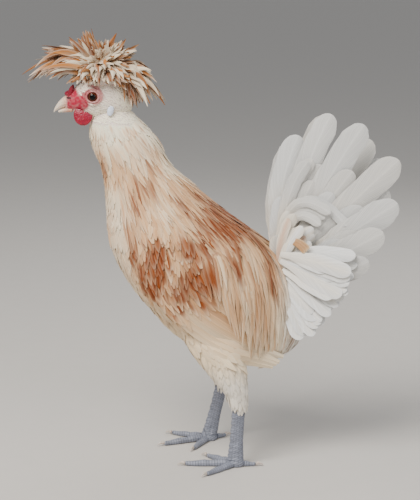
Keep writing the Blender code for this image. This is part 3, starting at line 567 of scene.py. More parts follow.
def move_to(obj, spots):
    """Gives a piece's vertices new places."""
    obj.data.vertices.foreach_set("co", spots.astype(np.float32).ravel())
    obj.data.update()


def paint(obj, tints):
    """Keeps a colour for each vertex under the name Tint."""
    rgba = np.ones((len(tints), 4), np.float32)
    rgba[:, :3] = tints
    layer = obj.data.color_attributes.new("Tint", "FLOAT_COLOR", "POINT")
    layer.data.foreach_set("color", rgba.ravel())


def tree_of(obj):
    """A search tree over a piece's faces."""
    verts = [v.co.copy() for v in obj.data.vertices]
    return BVHTree.FromPolygons(verts, [tuple(p.vertices) for p in obj.data.polygons])


def joined(parts, name):
    """One piece made of several."""
    bpy.ops.object.select_all(action="DESELECT")
    for part in parts:
        part.select_set(True)
    bpy.context.view_layer.objects.active = parts[0]
    if len(parts) > 1:
        bpy.ops.object.join()
    return named(bpy.context.object, name)


def remeshed(obj, voxel, smooth):
    """One even closed skin over the forms of the active piece, which overlap."""
    obj.data.remesh_voxel_size = voxel
    obj.data.remesh_voxel_adaptivity = 0
    bpy.ops.object.voxel_remesh()
    modifier = obj.modifiers.new("soften", "SMOOTH")
    modifier.factor, modifier.iterations = 0.5, smooth
    bpy.ops.object.modifier_apply(modifier=modifier.name)
    obj.data.shade_smooth()
    return obj


def soft_copy(nodes, name, voxel, smooth):
    """One merged and softened copy of hard solids, which stay as they are."""
    made = joined([linked(name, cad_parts[key].data.copy()) for key in nodes], name)
    with editing():
        bpy.ops.mesh.remove_doubles(threshold=0.00001)
    made.data.materials.clear()
    return remeshed(made, voxel, smooth)


def round_form(name, at, size, segments=32, rings=20):
    """A ball drawn out to three half sizes."""
    ball = bpy.ops.mesh.primitive_uv_sphere_add
    made = added(ball, segments=segments, ring_count=rings, radius=1, location=(0, 0, 0))
    with editing():
        bpy.ops.transform.resize(value=size, center_override=(0, 0, 0))
        bpy.ops.transform.translate(value=at)
    return named(made, name)


def settled(obj, material, slot, nodes=()):
    """Hands a finished piece over to the frame."""
    obj.data.materials.clear()
    obj.data.materials.append(material)
    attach(obj, "root")
    if nodes:
        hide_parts(*nodes)


# Materials


def node(tree, kind, *inputs, **values):
    """A shader node; its inputs come in order or as in_Name, each a value or a socket."""
    made = tree.nodes.new("ShaderNode" + kind)
    given = dict(enumerate(inputs))
    for key, value in values.items():
        if key.startswith("in_"):
            given[key[3:].replace("_", " ")] = value
        else:
            setattr(made, key, value)
    for key, value in given.items():
        if isinstance(value, bpy.types.NodeSocket):
            tree.links.new(value, made.inputs[key])
        else:
            made.inputs[key].default_value = value
    return made


def maths(tree, operation, *inputs):
    return node(tree, "Math", *inputs, operation=operation).outputs[0]


def colour_mix(tree, factor, first, second):
    """A mix of two colours by a factor socket."""
    made = node(tree, "Mix", data_type="RGBA")
    sockets = {socket.identifier: socket for socket in made.inputs}
    sockets["A_Color"].default_value = (*first, 1)
    sockets["B_Color"].default_value = (*second, 1)
    tree.links.new(factor, sockets["Factor_Float"])
    return next(s for s in made.outputs if s.identifier == "Result_Color")


def new_material(name, **sockets):
    """A Principled material with plain values on the shader's own sockets."""
    made = bpy.data.materials.new(name)
    made.use_nodes = True
    shader = made.node_tree.nodes["Principled BSDF"]
    for key, value in sockets.items():
        shader.inputs[key.replace("_", " ")].default_value = value
    return made, made.node_tree, shader


def dress(tree, shader, colour, height, strength, distance):
    """Wires a colour and a raised grain into a shader."""
    tree.links.new(colour, shader.inputs["Base Color"])
    raised = node(tree, "Bump", in_Strength=strength, in_Distance=distance, in_Height=height)
    tree.links.new(raised.outputs["Normal"], shader.inputs["Normal"])


def open_group(name, number):
    """A node group from a colour, a number and a contrast to a colour and a height."""
    group = bpy.data.node_groups.new(name, "ShaderNodeTree")
    for label, kind, way in (
        ("Colour", "Color", "INPUT"),
        (number, "Float", "INPUT"),
        ("Contrast", "Float", "INPUT"),
        ("Colour", "Color", "OUTPUT"),
        ("Height", "Float", "OUTPUT"),
    ):
        group.interface.new_socket(label, in_out=way, socket_type="NodeSocket" + kind)
    return group, group.nodes.new("NodeGroupInput").outputs


def close_group(group, inside, shade, height):
    """Scales the group's colour by a shade and hands a height on."""
    tint = node(group, "VectorMath", inside["Colour"], operation="SCALE", in_Scale=shade)
    out = group.nodes.new("NodeGroupOutput")
    group.links.new(tint.outputs[0], out.inputs["Colour"])
    group.links.new(height, out.inputs["Height"])
    return group


def barb_group():
    """Draws a feather's barbs: fine slanting streaks on both sides of a paler shaft."""
    if "feather barbs" in bpy.data.node_groups:
        return bpy.data.node_groups["feather barbs"]
    group, inside = open_group("feather barbs", "Barbs")
    vane = node(group, "UVMap", uv_map="Vane")
    split = node(group, "SeparateXYZ", vane.outputs[0])
    across = maths(group, "ABSOLUTE", maths(group, "SUBTRACT", split.outputs["X"], 0.5))
    slant = maths(group, "MULTIPLY_ADD", across, -0.7, split.outputs["Y"])
    run = maths(group, "MULTIPLY", slant, inside["Barbs"])
    where = node(group, "CombineXYZ", run, across)
    streak = node(group, "TexNoise", where.outputs[0], in_Scale=1.0, in_Detail=3.0)
    streak = streak.outputs["Fac"]
    less = maths(group, "SUBTRACT", 1.0, inside["Contrast"])
    shade = node(
        group, "MapRange", streak, in_From_Min=0.32, in_From_Max=0.68, in_To_Min=less
    )
    shaft = node(
        group, "MapRange", across, in_From_Max=0.07, in_To_Min=1.1, in_To_Max=1.0
    )
    both = maths(group, "MULTIPLY", shade.outputs["Result"], shaft.outputs["Result"])
    return close_group(group, inside, both, streak)


def feather_material(name, barbs, contrast, bump, **sockets):
    """Feathers: tint painted on the mesh, barbs along the vane and a soft sheen."""
    made, tree, shader = new_material(name, Specular_IOR_Level=0.16, **sockets)
    tint = node(tree, "VertexColor", layer_name="Tint").outputs["Color"]
    group = node(
        tree, "Group", node_tree=barb_group(), in_Colour=tint, in_Barbs=barbs,
        in_Contrast=contrast,
    )
    dress(tree, shader, group.outputs["Colour"], group.outputs["Height"], bump, 0.0004)
    return made


def pebble_group():
    """Small rounded bumps and soft blotches, on Object coordinates."""
    if "pebbled skin" in bpy.data.node_groups:
        return bpy.data.node_groups["pebbled skin"]
    group, inside = open_group("pebbled skin", "Scale")
    where = node(group, "TexCoord").outputs["Object"]
    cells = node(
        group, "TexVoronoi", where, feature="SMOOTH_F1", in_Smoothness=0.6,
        in_Scale=inside["Scale"],
    )
    blotch = node(group, "TexNoise", where, in_Scale=160.0, in_Detail=4.0)
    height = maths(group, "SUBTRACT", 1.0, cells.outputs["Distance"])
    total = maths(group, "ADD", height, blotch.outputs["Fac"])
    less = maths(group, "SUBTRACT", 1.0, inside["Contrast"])
    more = maths(group, "MULTIPLY_ADD", inside["Contrast"], 0.4, 1.0)
    shade = node(
        group, "MapRange", total, in_From_Min=0.7, in_From_Max=1.6, in_To_Min=less,
        in_To_Max=more,
    )
    return close_group(group, inside, shade.outputs["Result"], height)


def pebbled_material(name, colour, scale, contrast, bump, **sockets):
    """Bare skin; without a colour it takes the tint painted on the mesh."""
    made, tree, shader = new_material(name, **sockets)
    if colour is None:
        tint = node(tree, "VertexColor", layer_name="Tint").outputs["Color"]
    else:
        tint = (*colour, 1)
    group = node(
        tree, "Group", node_tree=pebble_group(), in_Colour=tint, in_Scale=scale,
        in_Contrast=contrast,
    )
    dress(tree, shader, group.outputs["Colour"], group.outputs["Height"], bump, 0.0005)
    return made


def horn_material(name, colour, base_x, base_tone):
    """Horn: warm at the root, pale towards the tip, with fine growth lines."""
    made, tree, shader = new_material(
        name, Roughness=0.38, Subsurface_Weight=0.08, Coat_Weight=0.15
    )
    where = node(tree, "TexCoord").outputs["Object"]
    split = node(tree, "SeparateXYZ", where)
    base = base_x * MM + SHIFT.x
    ease = node(
        tree, "MapRange", split.outputs["X"], interpolation_type="SMOOTHSTEP",
        in_From_Min=base - 0.005, in_From_Max=base + 0.005,
    )
    root = [c * t for c, t in zip(colour, base_tone)]
    warm = colour_mix(tree, ease.outputs["Result"], colour, root)
    squeeze = node(tree, "VectorMath", where, (0.35, 1, 1), operation="MULTIPLY")
    lines = node(tree, "TexNoise", squeeze.outputs[0], in_Scale=900.0, in_Detail=4.0)
    lines = lines.outputs["Fac"]
    shade = node(tree, "MapRange", lines, in_To_Min=0.78, in_To_Max=1.1).outputs["Result"]
    tone = node(tree, "VectorMath", warm, operation="SCALE", in_Scale=shade)
    dress(tree, shader, tone.outputs[0], lines, 0.2, 0.0002)
    return made


# Feathers as joined meshes

# Steps along a vane, for the feathers of each kind
STEPS, WING_STEPS, TAIL_STEPS, DOWN_STEPS, CREST_STEPS = 7, 14, 22, 12, 11
# Thickness of a vane in metres
STOUT, MEDIUM, FINE = 0.0007, 0.0005, 0.0004
# Size of one feather's patch on the map OFBake
MAP_PATCH = 0.003
LANCE = np.array((0.55, 0.88, 1.0, 0.92, 0.74, 0.46, 0.06))
FLUFF = np.array((0.50, 0.80, 1.0, 0.98, 0.84, 0.58, 0.16))
FLIGHT = np.array((0.3, 0.6, 0.84, 0.96, 1.0, 1.0, 0.98, 0.92, 0.76, 0.34))


def mirrored(*half):
    """Columns across a vane: place, and rise of the upper and lower face there."""
    return half + tuple((-u, over, under) for u, over, under in half[-2::-1])


EDGE = (-1.0, 0.0, 0.0)
SLIM = mirrored(EDGE, (0.0, 0.9, 0.5))
SOFT = mirrored(EDGE, (-0.5, 0.5, 0.3), (0.0, 0.9, 0.5))
STIFF = mirrored(
    EDGE, (-0.85, 0.3, 0.3), (-0.14, 0.4, 0.3), (-0.06, 0.42, 0.3), (0.0, 0.72, 0.5)
)
BROAD = mirrored(EDGE, (-0.6, 0.35, 0.3), (-0.09, 0.4, 0.3), (0.0, 1.1, 0.7))


class Flock:
    """Feathers of one piece, gathered one by one and then made into one mesh."""

    def __init__(self, columns=SLIM, cup=0.12, ragged=0.12, seed=1):
        self.columns, self.cup, self.ragged = columns, cup, ragged
        self.rng = np.random.default_rng(seed)
        self.rows = []

    def add(self, path, normals, widths, thick, tints, home):
        """Keeps one feather: shaft, outward normals, widths, core and rim colours, root."""
        self.rows.append((path, normals, widths, thick, *tints, home))

    def sections(self):
        """Points, colours and places across each ring of every feather."""
        columns = (np.array(column) for column in zip(*self.rows))
        path, normals, widths, thick, core, rim, home = columns
        count, steps = path.shape[:2]
        ahead = unit_rows(np.gradient(path, axis=1))
        normals = unit_rows(normals - ahead * (normals * ahead).sum(2, keepdims=True))
        across = np.cross(ahead, normals)
        deep = thick[:, None] * (1 - 0.6 * np.linspace(0, 1, steps)[None, :])
        over = [(u, up, 1) for u, up, _ in self.columns]
        under = [(u, down, -1) for u, _, down in self.columns[-2:0:-1]]
        points, tints, sides = [], [], []
        for u, lift, face in over + under:
            torn = 1.0
            if abs(u) == 1:
                torn = 1 - self.ragged * self.rng.random((count, steps)) ** 2
            out = widths / 2 * u * torn
            rise = face * lift * deep - self.cup * widths * u * u
            points.append(path + across * out[..., None] + normals * rise[..., None])
            tone = core + (rim - core) * abs(u) ** 1.3
            tints.append(tone if face > 0 else tone * 0.94)
            sides.append(0.5 + u / 2)
        return np.stack(points, 2), np.stack(tints, 2), np.array(sides), home

    def faces(self, steps, around):
        """One feather's faces of four corners, then those of three at its two ends."""
        rows = []
        for i in range(steps - 1):
            for k in range(around):
                a, b = i * around + k, i * around + (k + 1) % around
                rows.append((a, b, b + around, a + around))
        for start, near in ((0, True), ((steps - 1) * around, False)):
            for k in range(around // 2):
                low = (around - k) % around
                cap = (k, k + 1, (around - k - 1) % around, low)
                cap = tuple(start + v for v in (cap[::-1] if near else cap))
                rows.append(tuple(dict.fromkeys(cap)))
        return [np.array([row for row in rows if len(row) == size]) for size in (4, 3)]

    def make(self, name):
        """One joined mesh of closed vanes, with its tints, vane map and root map."""
        points, tints, sides, home = self.sections()
        count, steps, around = points.shape[:3]
        size = steps * around
        offset = (np.arange(count) * size)[:, None, None]
        quads, threes = ((f[None] + offset) for f in self.faces(steps, around))
        flat = np.concatenate([quads.ravel(), threes.ravel()]).astype(np.int32)
        three_at = quads.size + np.arange(0, threes.size, 3)
        starts = np.concatenate([np.arange(0, quads.size, 4), three_at])
        mesh = bpy.data.meshes.new(name)
        mesh.vertices.add(count * size)
        mesh.vertices.foreach_set("co", points.astype(np.float32).ravel())
        mesh.loops.add(len(flat))
        mesh.loops.foreach_set("vertex_index", flat)
        mesh.polygons.add(len(starts))
        mesh.polygons.foreach_set("loop_start", starts.astype(np.int32))
        mesh.update(calc_edges=True)
        gone = np.linalg.norm(np.diff(points.mean(axis=2), axis=1), axis=2).cumsum(axis=1)
        gone = np.concatenate([np.zeros((count, 1)), gone], axis=1) / gone[:, -1:]
        pair = np.stack([np.tile(sides, count * steps), np.repeat(gone.ravel(), around)], 1)
        roots = np.repeat(home, size, axis=0) + MAP_PATCH * (pair - 0.5)
        for label, spots in (("Vane", pair), ("OFBake", roots)):
            layer = mesh.uv_layers.new(name=label)
            layer.uv.foreach_set("vector", spots[flat].astype(np.float32).ravel())
        made = linked(name, mesh)
        paint(made, tints.reshape(-1, 3))
        mesh.shade_smooth()
        mesh.set_sharp_from_angle(angle=math.radians(50))
        return made


def blended_tints(steps, root, middle, edge, tip):
    """Core and rim colours from a feather's root to its tip."""
    root, middle, edge, tip = (np.array(c) for c in (root, middle, edge, tip))
    share = np.linspace(0, 1, steps)[:, None]
    grown, end = soft_step(0.05, 0.5, share), soft_step(0.72, 1.0, share)
    return [
        (root * (1 - grown) + part * grown) * (1 - end) + tip * end for part in (middle, edge)
    ]


def round_tip(path, width):
    """Widths that stay broad towards the tip and close there in a half circle."""
    left = np.linalg.norm(path - path[-1], axis=1)
    grown = 0.35 + 0.65 * soft_step(1, 0.45, left / left[0])
    near = np.clip(1 - left / (width * 0.7), 0, 0.997)
    return width * grown * np.sqrt(1 - near**2)


def outline_at(outline, steps):
    """The shares of a feather's width, read at another number of steps."""
    at = np.linspace(0, len(outline) - 1, steps)
    return np.interp(at, np.arange(len(outline)), outline)


def combed(tree, start, heading, length, low, high, power=1.0):
    """A shaft laid along a surface, from low at its root to high at its tip."""
    spot, normal = tree.find_nearest(start)[:2]
    path, normals = [], []
    for i in range(STEPS):
        rise = low + (high - low) * (i / (STEPS - 1)) ** power
        path.append(spot + normal * rise)
        normals.append(normal.copy())
        way = heading - normal * normal.dot(heading)
        if way.length < 1e-6:
            way = heading
        ahead = spot + way.normalized() * length / (STEPS - 1)
        spot, found = tree.find_nearest(ahead)[:2]
        normal = (normal + found * 0.8).normalized()
    return np.array(path), np.array(normals)


def flank_ray(tree, side, x, z, *reach):
    """Where a ray from beside the bird meets it, and where the ray starts."""
    start = place(x, side * 150, z)
    return start, *tree.ray_cast(start, Vector((0, -side, 0)), *reach)[:2]


def off_flank(tree, side, spot):
    """Whether a place given as x and z in millimetres lies past the edge of the flank."""
    return flank_ray(tree, side, *spot, 0.15)[1] is None


def hanging(path, normals, length):
    """The same shaft, but straight on past the end of the thigh, over the hock."""
    way = unit_rows(unit_rows(path[2] - path[0]) + (0, 0, -0.7))
    share = np.linspace(0, 1, len(path))[:, None]
    out = normals[0] * np.sin(share * math.pi / 2) * 0.0006
    return path[0] + way * share * length * 0.9 + out, np.tile(normals[0], (len(path), 1))


def draped(tree, side, line, low, high, power):
    """A shaft whose x and z are given in millimetres, dropped onto the flank."""
    spots, normals = [], []
    for x, z in line:
        start, spot, normal = flank_ray(tree, side, x, z)
        if spot is None:
            near, normal = tree.find_nearest(place(x, side * 48, z))[:2]
            spot = Vector((start.x, near.y, start.z))
        if normal.y * side < 0:
            normal = -normal
        spots.append(spot)
        normals.append(normal.lerp(Vector((0, side, 0)), 0.35).normalized())
    spots, normals = np.array(spots), np.array(normals)
    raw = spots.copy()
    for _ in range(4):
        for rows in (spots, normals):
            rows[1:-1] = (rows[:-2] + 2 * rows[1:-1] + rows[2:]) / 4
    spots[:, 1] += side * np.maximum((raw - spots)[:, 1] * side, 0)
    share = np.linspace(0, 1, len(spots))[:, None]
    return spots + normals * (low + (high - low) * share**power), unit_rows(normals)


def rolled(path, normals, degrees):
    """Normals turned about the shaft, which lifts one edge over the next feather."""
    ahead = unit_rows(np.gradient(path, axis=0))
    angle = math.radians(degrees)
    return normals * math.cos(angle) + np.cross(ahead, normals) * math.sin(angle)


# Each coat: gap between roots, length, width, outline, root depth, tip height, lift power
COATS = {
    "face": (2.2, 6.0, 2.6, FLUFF, -0.2, 0.45, 1.0),
    "nape": (3.2, 16.0, 4.4, FLUFF, -0.4, 1.2, 1.0),
    "throat": (4.2, 19.0, 6.0, FLUFF, -0.4, 1.2, 0.9),
    "hackle": (4.2, 40.0, 5.6, LANCE, -0.5, 2.6, 0.7),
    "breast": (5.0, 27.0, 8.5, FLUFF, -0.5, 1.7, 0.8),
    "back": (4.8, 36.0, 7.5, LANCE, -0.5, 2.8, 0.7),
    "saddle": (4.8, 58.0, 5.6, LANCE, -0.5, 5.6, 0.5),
    "vent": (5.0, 32.0, 9.0, FLUFF, -0.5, 3.6, 0.9),
    "thigh": (4.2, 17.0, 6.4, FLUFF, -0.4, 1.3, 0.9),
}
COAT_PIECES = {
    "face_coat": ("face",),
    "cape": ("nape", "hackle"),
    "breast_coat": ("throat", "breast"),
    "saddle": ("back", "saddle"),
    "vent_coat": ("vent",),
    "thigh_coat": ("thigh",),
}


def coat_kinds(points):
    """The kind of coat at places in millimetres, or an empty name where none grows."""
    share, height, _ = trunk_places(points)
    x, y, z = points.T
    kinds = np.full(len(points), "breast", dtype=object)
    neck, trunk = share < 0.40, share >= 0.40
    kinds[neck & (height > 0.2)] = "hackle"
    kinds[neck & (height <= 0.2)] = "throat"
    kinds[share < 0.12] = "nape"
    kinds[trunk & (height > 0.70) & (share < 0.47)] = "hackle"
    kinds[trunk & (height > 0.62) & (share >= 0.47)] = "back"
    kinds[trunk & (height > 0.62) & (share > 0.52)] = "saddle"
    kinds[trunk & (height <= 0.62) & (share > 0.78)] = "vent"
    kinds[share > 0.93] = "vent"
    for side in (LEFT, RIGHT):
        middle = thigh_middle(side, z)
        far = ((x - middle[:, 0]) / middle[:, 2]) ** 2
        far += ((y - middle[:, 1]) / middle[:, 3]) ** 2
        kinds[(z < 118) & (far < 1.5)] = "thigh"
    kinds[under_wing(points) | (z < COAT_END)] = ""
    head = ((z > 342) & (x < -84)) | (z > 350)
    kinds[head] = "face"
    dome = ((x - DOME_AT[0]) / 27) ** 2 + (y / 21) ** 2 + ((z - 386) / 19) ** 2
    kinds[head & ((dome < 1) | (bare_skin(x, z) > 0.55) | (x < -141))] = ""
    return kinds


def coat_headings(kinds, points, lie):
    """The way the feathers point at each place."""
    side = np.clip(points[:, 1] / 14, -1, 1)
    zero = np.zeros(len(points))

    def way(x, y, z):
        return np.stack([zero + x, zero + y, zero + z], 1)

    heading = lie + way(0.1, 0.12 * side, -0.3)
    wanted = {
        "face": way(1, 0.1 * side, -0.55),
        "nape": lie * 0.5 + way(0.4, 0.15 * side, -0.9),
        "hackle": lie * 0.6 + way(0.3, 0.18 * side, -0.55),
        "throat": lie + way(0.2, 0.1 * side, -0.2),
        "back": lie * 0.8 + way(0, 0.35 * side, -0.4),
        "saddle": lie * 0.3 + way(0.06, 0.35 * side, -0.85),
        "vent": lie * 0.5 + way(0.45, 0.05 * side, -0.55),
        "thigh": way(0.14, 0, -1),
    }
    for kind, value in wanted.items():
        heading = np.where((kinds == kind)[:, None], value, heading)
    return unit_rows(heading)


def coat_tints(kind, spots, draw, looks, steps=STEPS):
    """Colours where root, middle and tip lie: a rusty centre or streak in a pale lace."""
    ground = ground_colour(spots[1], looks.cream)
    shade = draw.uniform(0.9, 1.05)
    if kind == "face":
        tone = mixed(FACE_PINK, PALE, draw.uniform(0.1, 0.8))
        low = max(soft_step(360, 346, spots[1][2]), soft_step(-104, -88, spots[1][0]))
        tone = mixed(tone, ground, float(low))
        return blended_tints(steps, tone, tone, PALE, PALE)
    marks = rustiness(spots)
    stray = draw.uniform(-0.22, 0.2)
    root, middle, tip = (min(max(m + stray * min(1, 3 * m), 0), 1) for m in marks)
    streak = 0.0
    if kind in ("hackle", "nape", "saddle") and draw.random() < 0.34:
        streak = draw.uniform(0.25, 0.75)

    def tone(amount, pale, lace=1.0):
        deep = mixed(looks.buff, looks.rust, soft_step(0.35, 0.95, amount))
        return mixed(mixed(ground, PALE, pale), deep, amount**0.8 * lace)

    shown = max(middle, tip * 0.9)
    core = tone(max(shown, streak), 0.0)
    if shown > 0.65 and draw.random() < 0.4:
        core = mixed(core, DEEP_RUST, 0.6)
    edge = tone(shown, 0.3, 0.85)
    end = tone(tip, draw.uniform(0.1, 0.5), draw.uniform(0.7, 1.0))
    tones = (tone(root, 0.0, 0.8), core, edge, end)
    return blended_tints(steps, *[scaled(each, shade) for each in tones])


def path_spots(path):
    """Root, middle and tip of a shaft, in millimetres."""
    return in_mm(path[[len(path) // 4, len(path) * 5 // 8, -1]])


def surface_samples(obj, spacing_of, thickness, rng):
    """Random places on a piece, denser where the gap asked for there is smaller."""
    mesh = obj.data
    mesh.calc_loop_triangles()
    verts = places_of(obj)
    tris = np.empty(len(mesh.loop_triangles) * 3, np.int32)
    mesh.loop_triangles.foreach_get("vertices", tris)
    a, b, c = (verts[tris[k::3]] for k in range(3))
    area = np.linalg.norm(np.cross(b - a, c - a), axis=1) / 2
    spacing, kinds = spacing_of((a + b + c) / 3)
    weight = np.where(spacing > 0, area / np.maximum(spacing, 1e-9) ** 2, 0)
    count = int(weight.sum() * thickness)
    pick = rng.choice(len(area), count, p=weight / weight.sum())
    r, s = np.sqrt(rng.random((count, 1))), rng.random((count, 1))
    points = a[pick] * (1 - r) + b[pick] * r * (1 - s) + c[pick] * r * s
    return points, spacing[pick], kinds[pick]


def thinned(points, spacing):
    """Keeps places in turn, none nearer than its own gap to one kept before."""
    cell = float(spacing.max())
    cells = np.floor(points / cell).astype(int).tolist()
    grid, kept = {}, []
    near = [(i, j, k) for i in (-1, 0, 1) for j in (-1, 0, 1) for k in (-1, 0, 1)]
    for index, ((x, y, z), (i, j, k)) in enumerate(zip(points.tolist(), cells)):
        least = spacing[index] ** 2
        close = (q for a, b, c in near for q in grid.get((i + a, j + b, k + c), ()))
        if all((p - x) ** 2 + (q - y) ** 2 + (r - z) ** 2 >= least for p, q, r in close):
            grid.setdefault((i, j, k), []).append((x, y, z))
            kept.append(index)
    return kept


def coat_homes(kinds, points, share, height):
    """Where each root lies on the skin's own unwrap."""
    homes = trunk_home(points, share, height)
    homes = np.where((kinds == "face")[:, None], head_home(points), homes)
    for side in (LEFT, RIGHT):
        leg = (kinds == "thigh") & (points[:, 1] * side > 0)
        homes = np.where(leg[:, None], thigh_home(points, side), homes)
    return homes


def grow_coat(skin, tree, looks):
    """Plants every body feather on the skin and gathers them into their pieces."""
    rng = np.random.default_rng(looks.seed)
    draw = random.Random(looks.seed)
    size = looks.fineness

    def spacing_of(places):
        kinds = coat_kinds(in_mm(places))
        gaps = [COATS[kind][0] * size * MM if kind else 0 for kind in kinds]
        return np.array(gaps), kinds

    points, gaps, kinds = surface_samples(skin, spacing_of, 9, rng)
    kept = thinned(points, gaps)
    points, kinds = points[kept], kinds[kept]
    spots = in_mm(points)
    share, height, lie = trunk_places(spots)
    headings = coat_headings(kinds, spots, lie)
    homes = coat_homes(kinds, spots, share, height)
    flocks = {name: Flock(seed=looks.seed + i) for i, name in enumerate(COAT_PIECES)}
    piece_of = {kind: name for name, of in COAT_PIECES.items() for kind in of}
    for i, kind in enumerate(kinds):
        _, length, width, outline, low, high, power = COATS[kind]
        if kind in ("breast", "thigh", "throat", "vent"):
            length, width = length * size, width * size
        if kind == "hackle":
            length *= 0.62 + 0.55 * float(soft_step(0.1, 0.3, share[i]))
        if kind == "saddle":
            length *= 0.8 + 0.3 * float(soft_step(0.5, 0.62, share[i]))
        length *= draw.uniform(0.84, 1.12) * MM
        heading = Vector(headings[i]) + strayed(draw, 0.09 * looks.tousle)
        lift = high * draw.uniform(0.8, 1.25) * MM
        start = Vector(points[i])
        path, normals = combed(tree, start, heading, length, low * MM, lift, power)
        if spots[i][2] < HOCK:
            path, normals = hanging(path, normals, length)
        normals = rolled(path, normals, draw.gauss(0, 7) * looks.tousle)
        widths = outline * width * draw.uniform(0.88, 1.1) * MM
        tints = coat_tints(kind, path_spots(path), draw, looks)
        flocks[piece_of[kind]].add(path, normals, widths, FINE, tints, homes[i])
    return flocks


def skin_tints(obj, looks, red, horn):
    """Paints the skin with the coat's own markings, and red where the face is bare."""
    spots = in_mm(places_of(obj))
    tints = []
    for spot, rust in zip(spots.tolist(), rustiness(spots)):
        tone = mixed(ground_colour(spot, looks.cream), looks.rust, rust * 0.8)
        if spot[2] > 338 and spot[0] < -86:
            tone = mixed(tone, FACE_PINK, 0.8)
            blotch = 0.94 + 0.2 * noise.noise(Vector(spot) * 0.4)
            tone = mixed(tone, red, float(bare_skin(spot[0], spot[2])) * min(blotch, 1))
            tone = mixed(tone, horn, 0.75 * float(soft_step(-145.5, -149, spot[0])))
            tone = mixed(tone, NOSTRIL, float(oval(spot[0], spot[2], (-145, 364), (2.6, 1.2))))
        tints.append(tone)
    paint(obj, tints)


# Operators

SKIN = {}


class COCKEREL_OT_skin(bpy.types.Operator):
    """Draws out head, neck, trunk, thighs and wing pads and closes them in one skin"""

    bl_idname = "cockerel.skin"
    bl_label = "Skin"

    def execute(self, context):
        looks, tones = context.scene.cockerel_plumage, context.scene.cockerel_skin
        forms = [extruded("body", body_rings(looks.depth))]
        tree = tree_of(forms[0])
        for side in (LEFT, RIGHT):
            forms.append(extruded("thigh", thigh_rings(side, looks.depth), 24))
            forms.append(extruded("wing", wing_rings(side, tree), 24))
        trunk = remeshed(joined(forms, "trunk"), 0.0022, 4)
        knob = [s * KNOB * MM for s in DOME_SIZE]
        head = [extruded("head", head_rings()), round_form("knob", place(*DOME_AT), knob)]
        for side in (LEFT, RIGHT):
            head += self.lids(side)
        skull = remeshed(joined(head, "skull"), 0.0006, 3)
        skin = joined([trunk, skull], "skin")
        skin_tints(skin, looks, tones.red, tones.horn)
        SKIN.update(tree=tree_of(skin), object=skin)
        material = pebbled_material(
            "bare skin", None, 850.0, 0.22, 0.35, Roughness=0.5, Subsurface_Weight=0.1
        )
        nodes = ["head", "neck", "torso"]
        nodes += [part + side for part in ("thigh_", "wing_") for side in ("left", "right")]
        settled(skin, material, "plumage", nodes)
        return {"FINISHED"}

    def lids(self, side):
        """The lids and the fold round them, as two almond rings."""
        ring = bpy.ops.mesh.primitive_torus_add
        sides = {"major_segments": 40, "minor_segments": 12}
        made = []
        for major, minor, out in ((5.8, 1.05, 17.6), (8.1, 0.85, 16.9)):
            made.append(added(ring, major_radius=major * MM, minor_radius=minor * MM, **sides))
            with editing():
                turned(math.radians(90), "X")
                bpy.ops.transform.resize(value=(1.08, 1, 0.93), center_override=(0, 0, 0))
                turned(-side * math.radians(9), "Z")
                bpy.ops.transform.translate(value=place(EYE[0], side * out, EYE[2]))
        return made


class COCKEREL_OT_coat(bpy.types.Operator):
    """Plants the body feathers: face, cape, breast, saddle, vent and thighs"""

    bl_idname = "cockerel.coat"
    bl_label = "Body coat"

    def execute(self, context):
        flocks = grow_coat(SKIN["object"], SKIN["tree"], context.scene.cockerel_plumage)
        body = feather_material("body feathers", 14.0, 0.16, 0.3, Roughness=0.75)
        long = feather_material("hackle feathers", 34.0, 0.2, 0.3, Roughness=0.62)
        for name, flock in flocks.items():
            settled(flock.make(name), long if name in ("cape", "saddle") else body, "plumage")
        return {"FINISHED"}


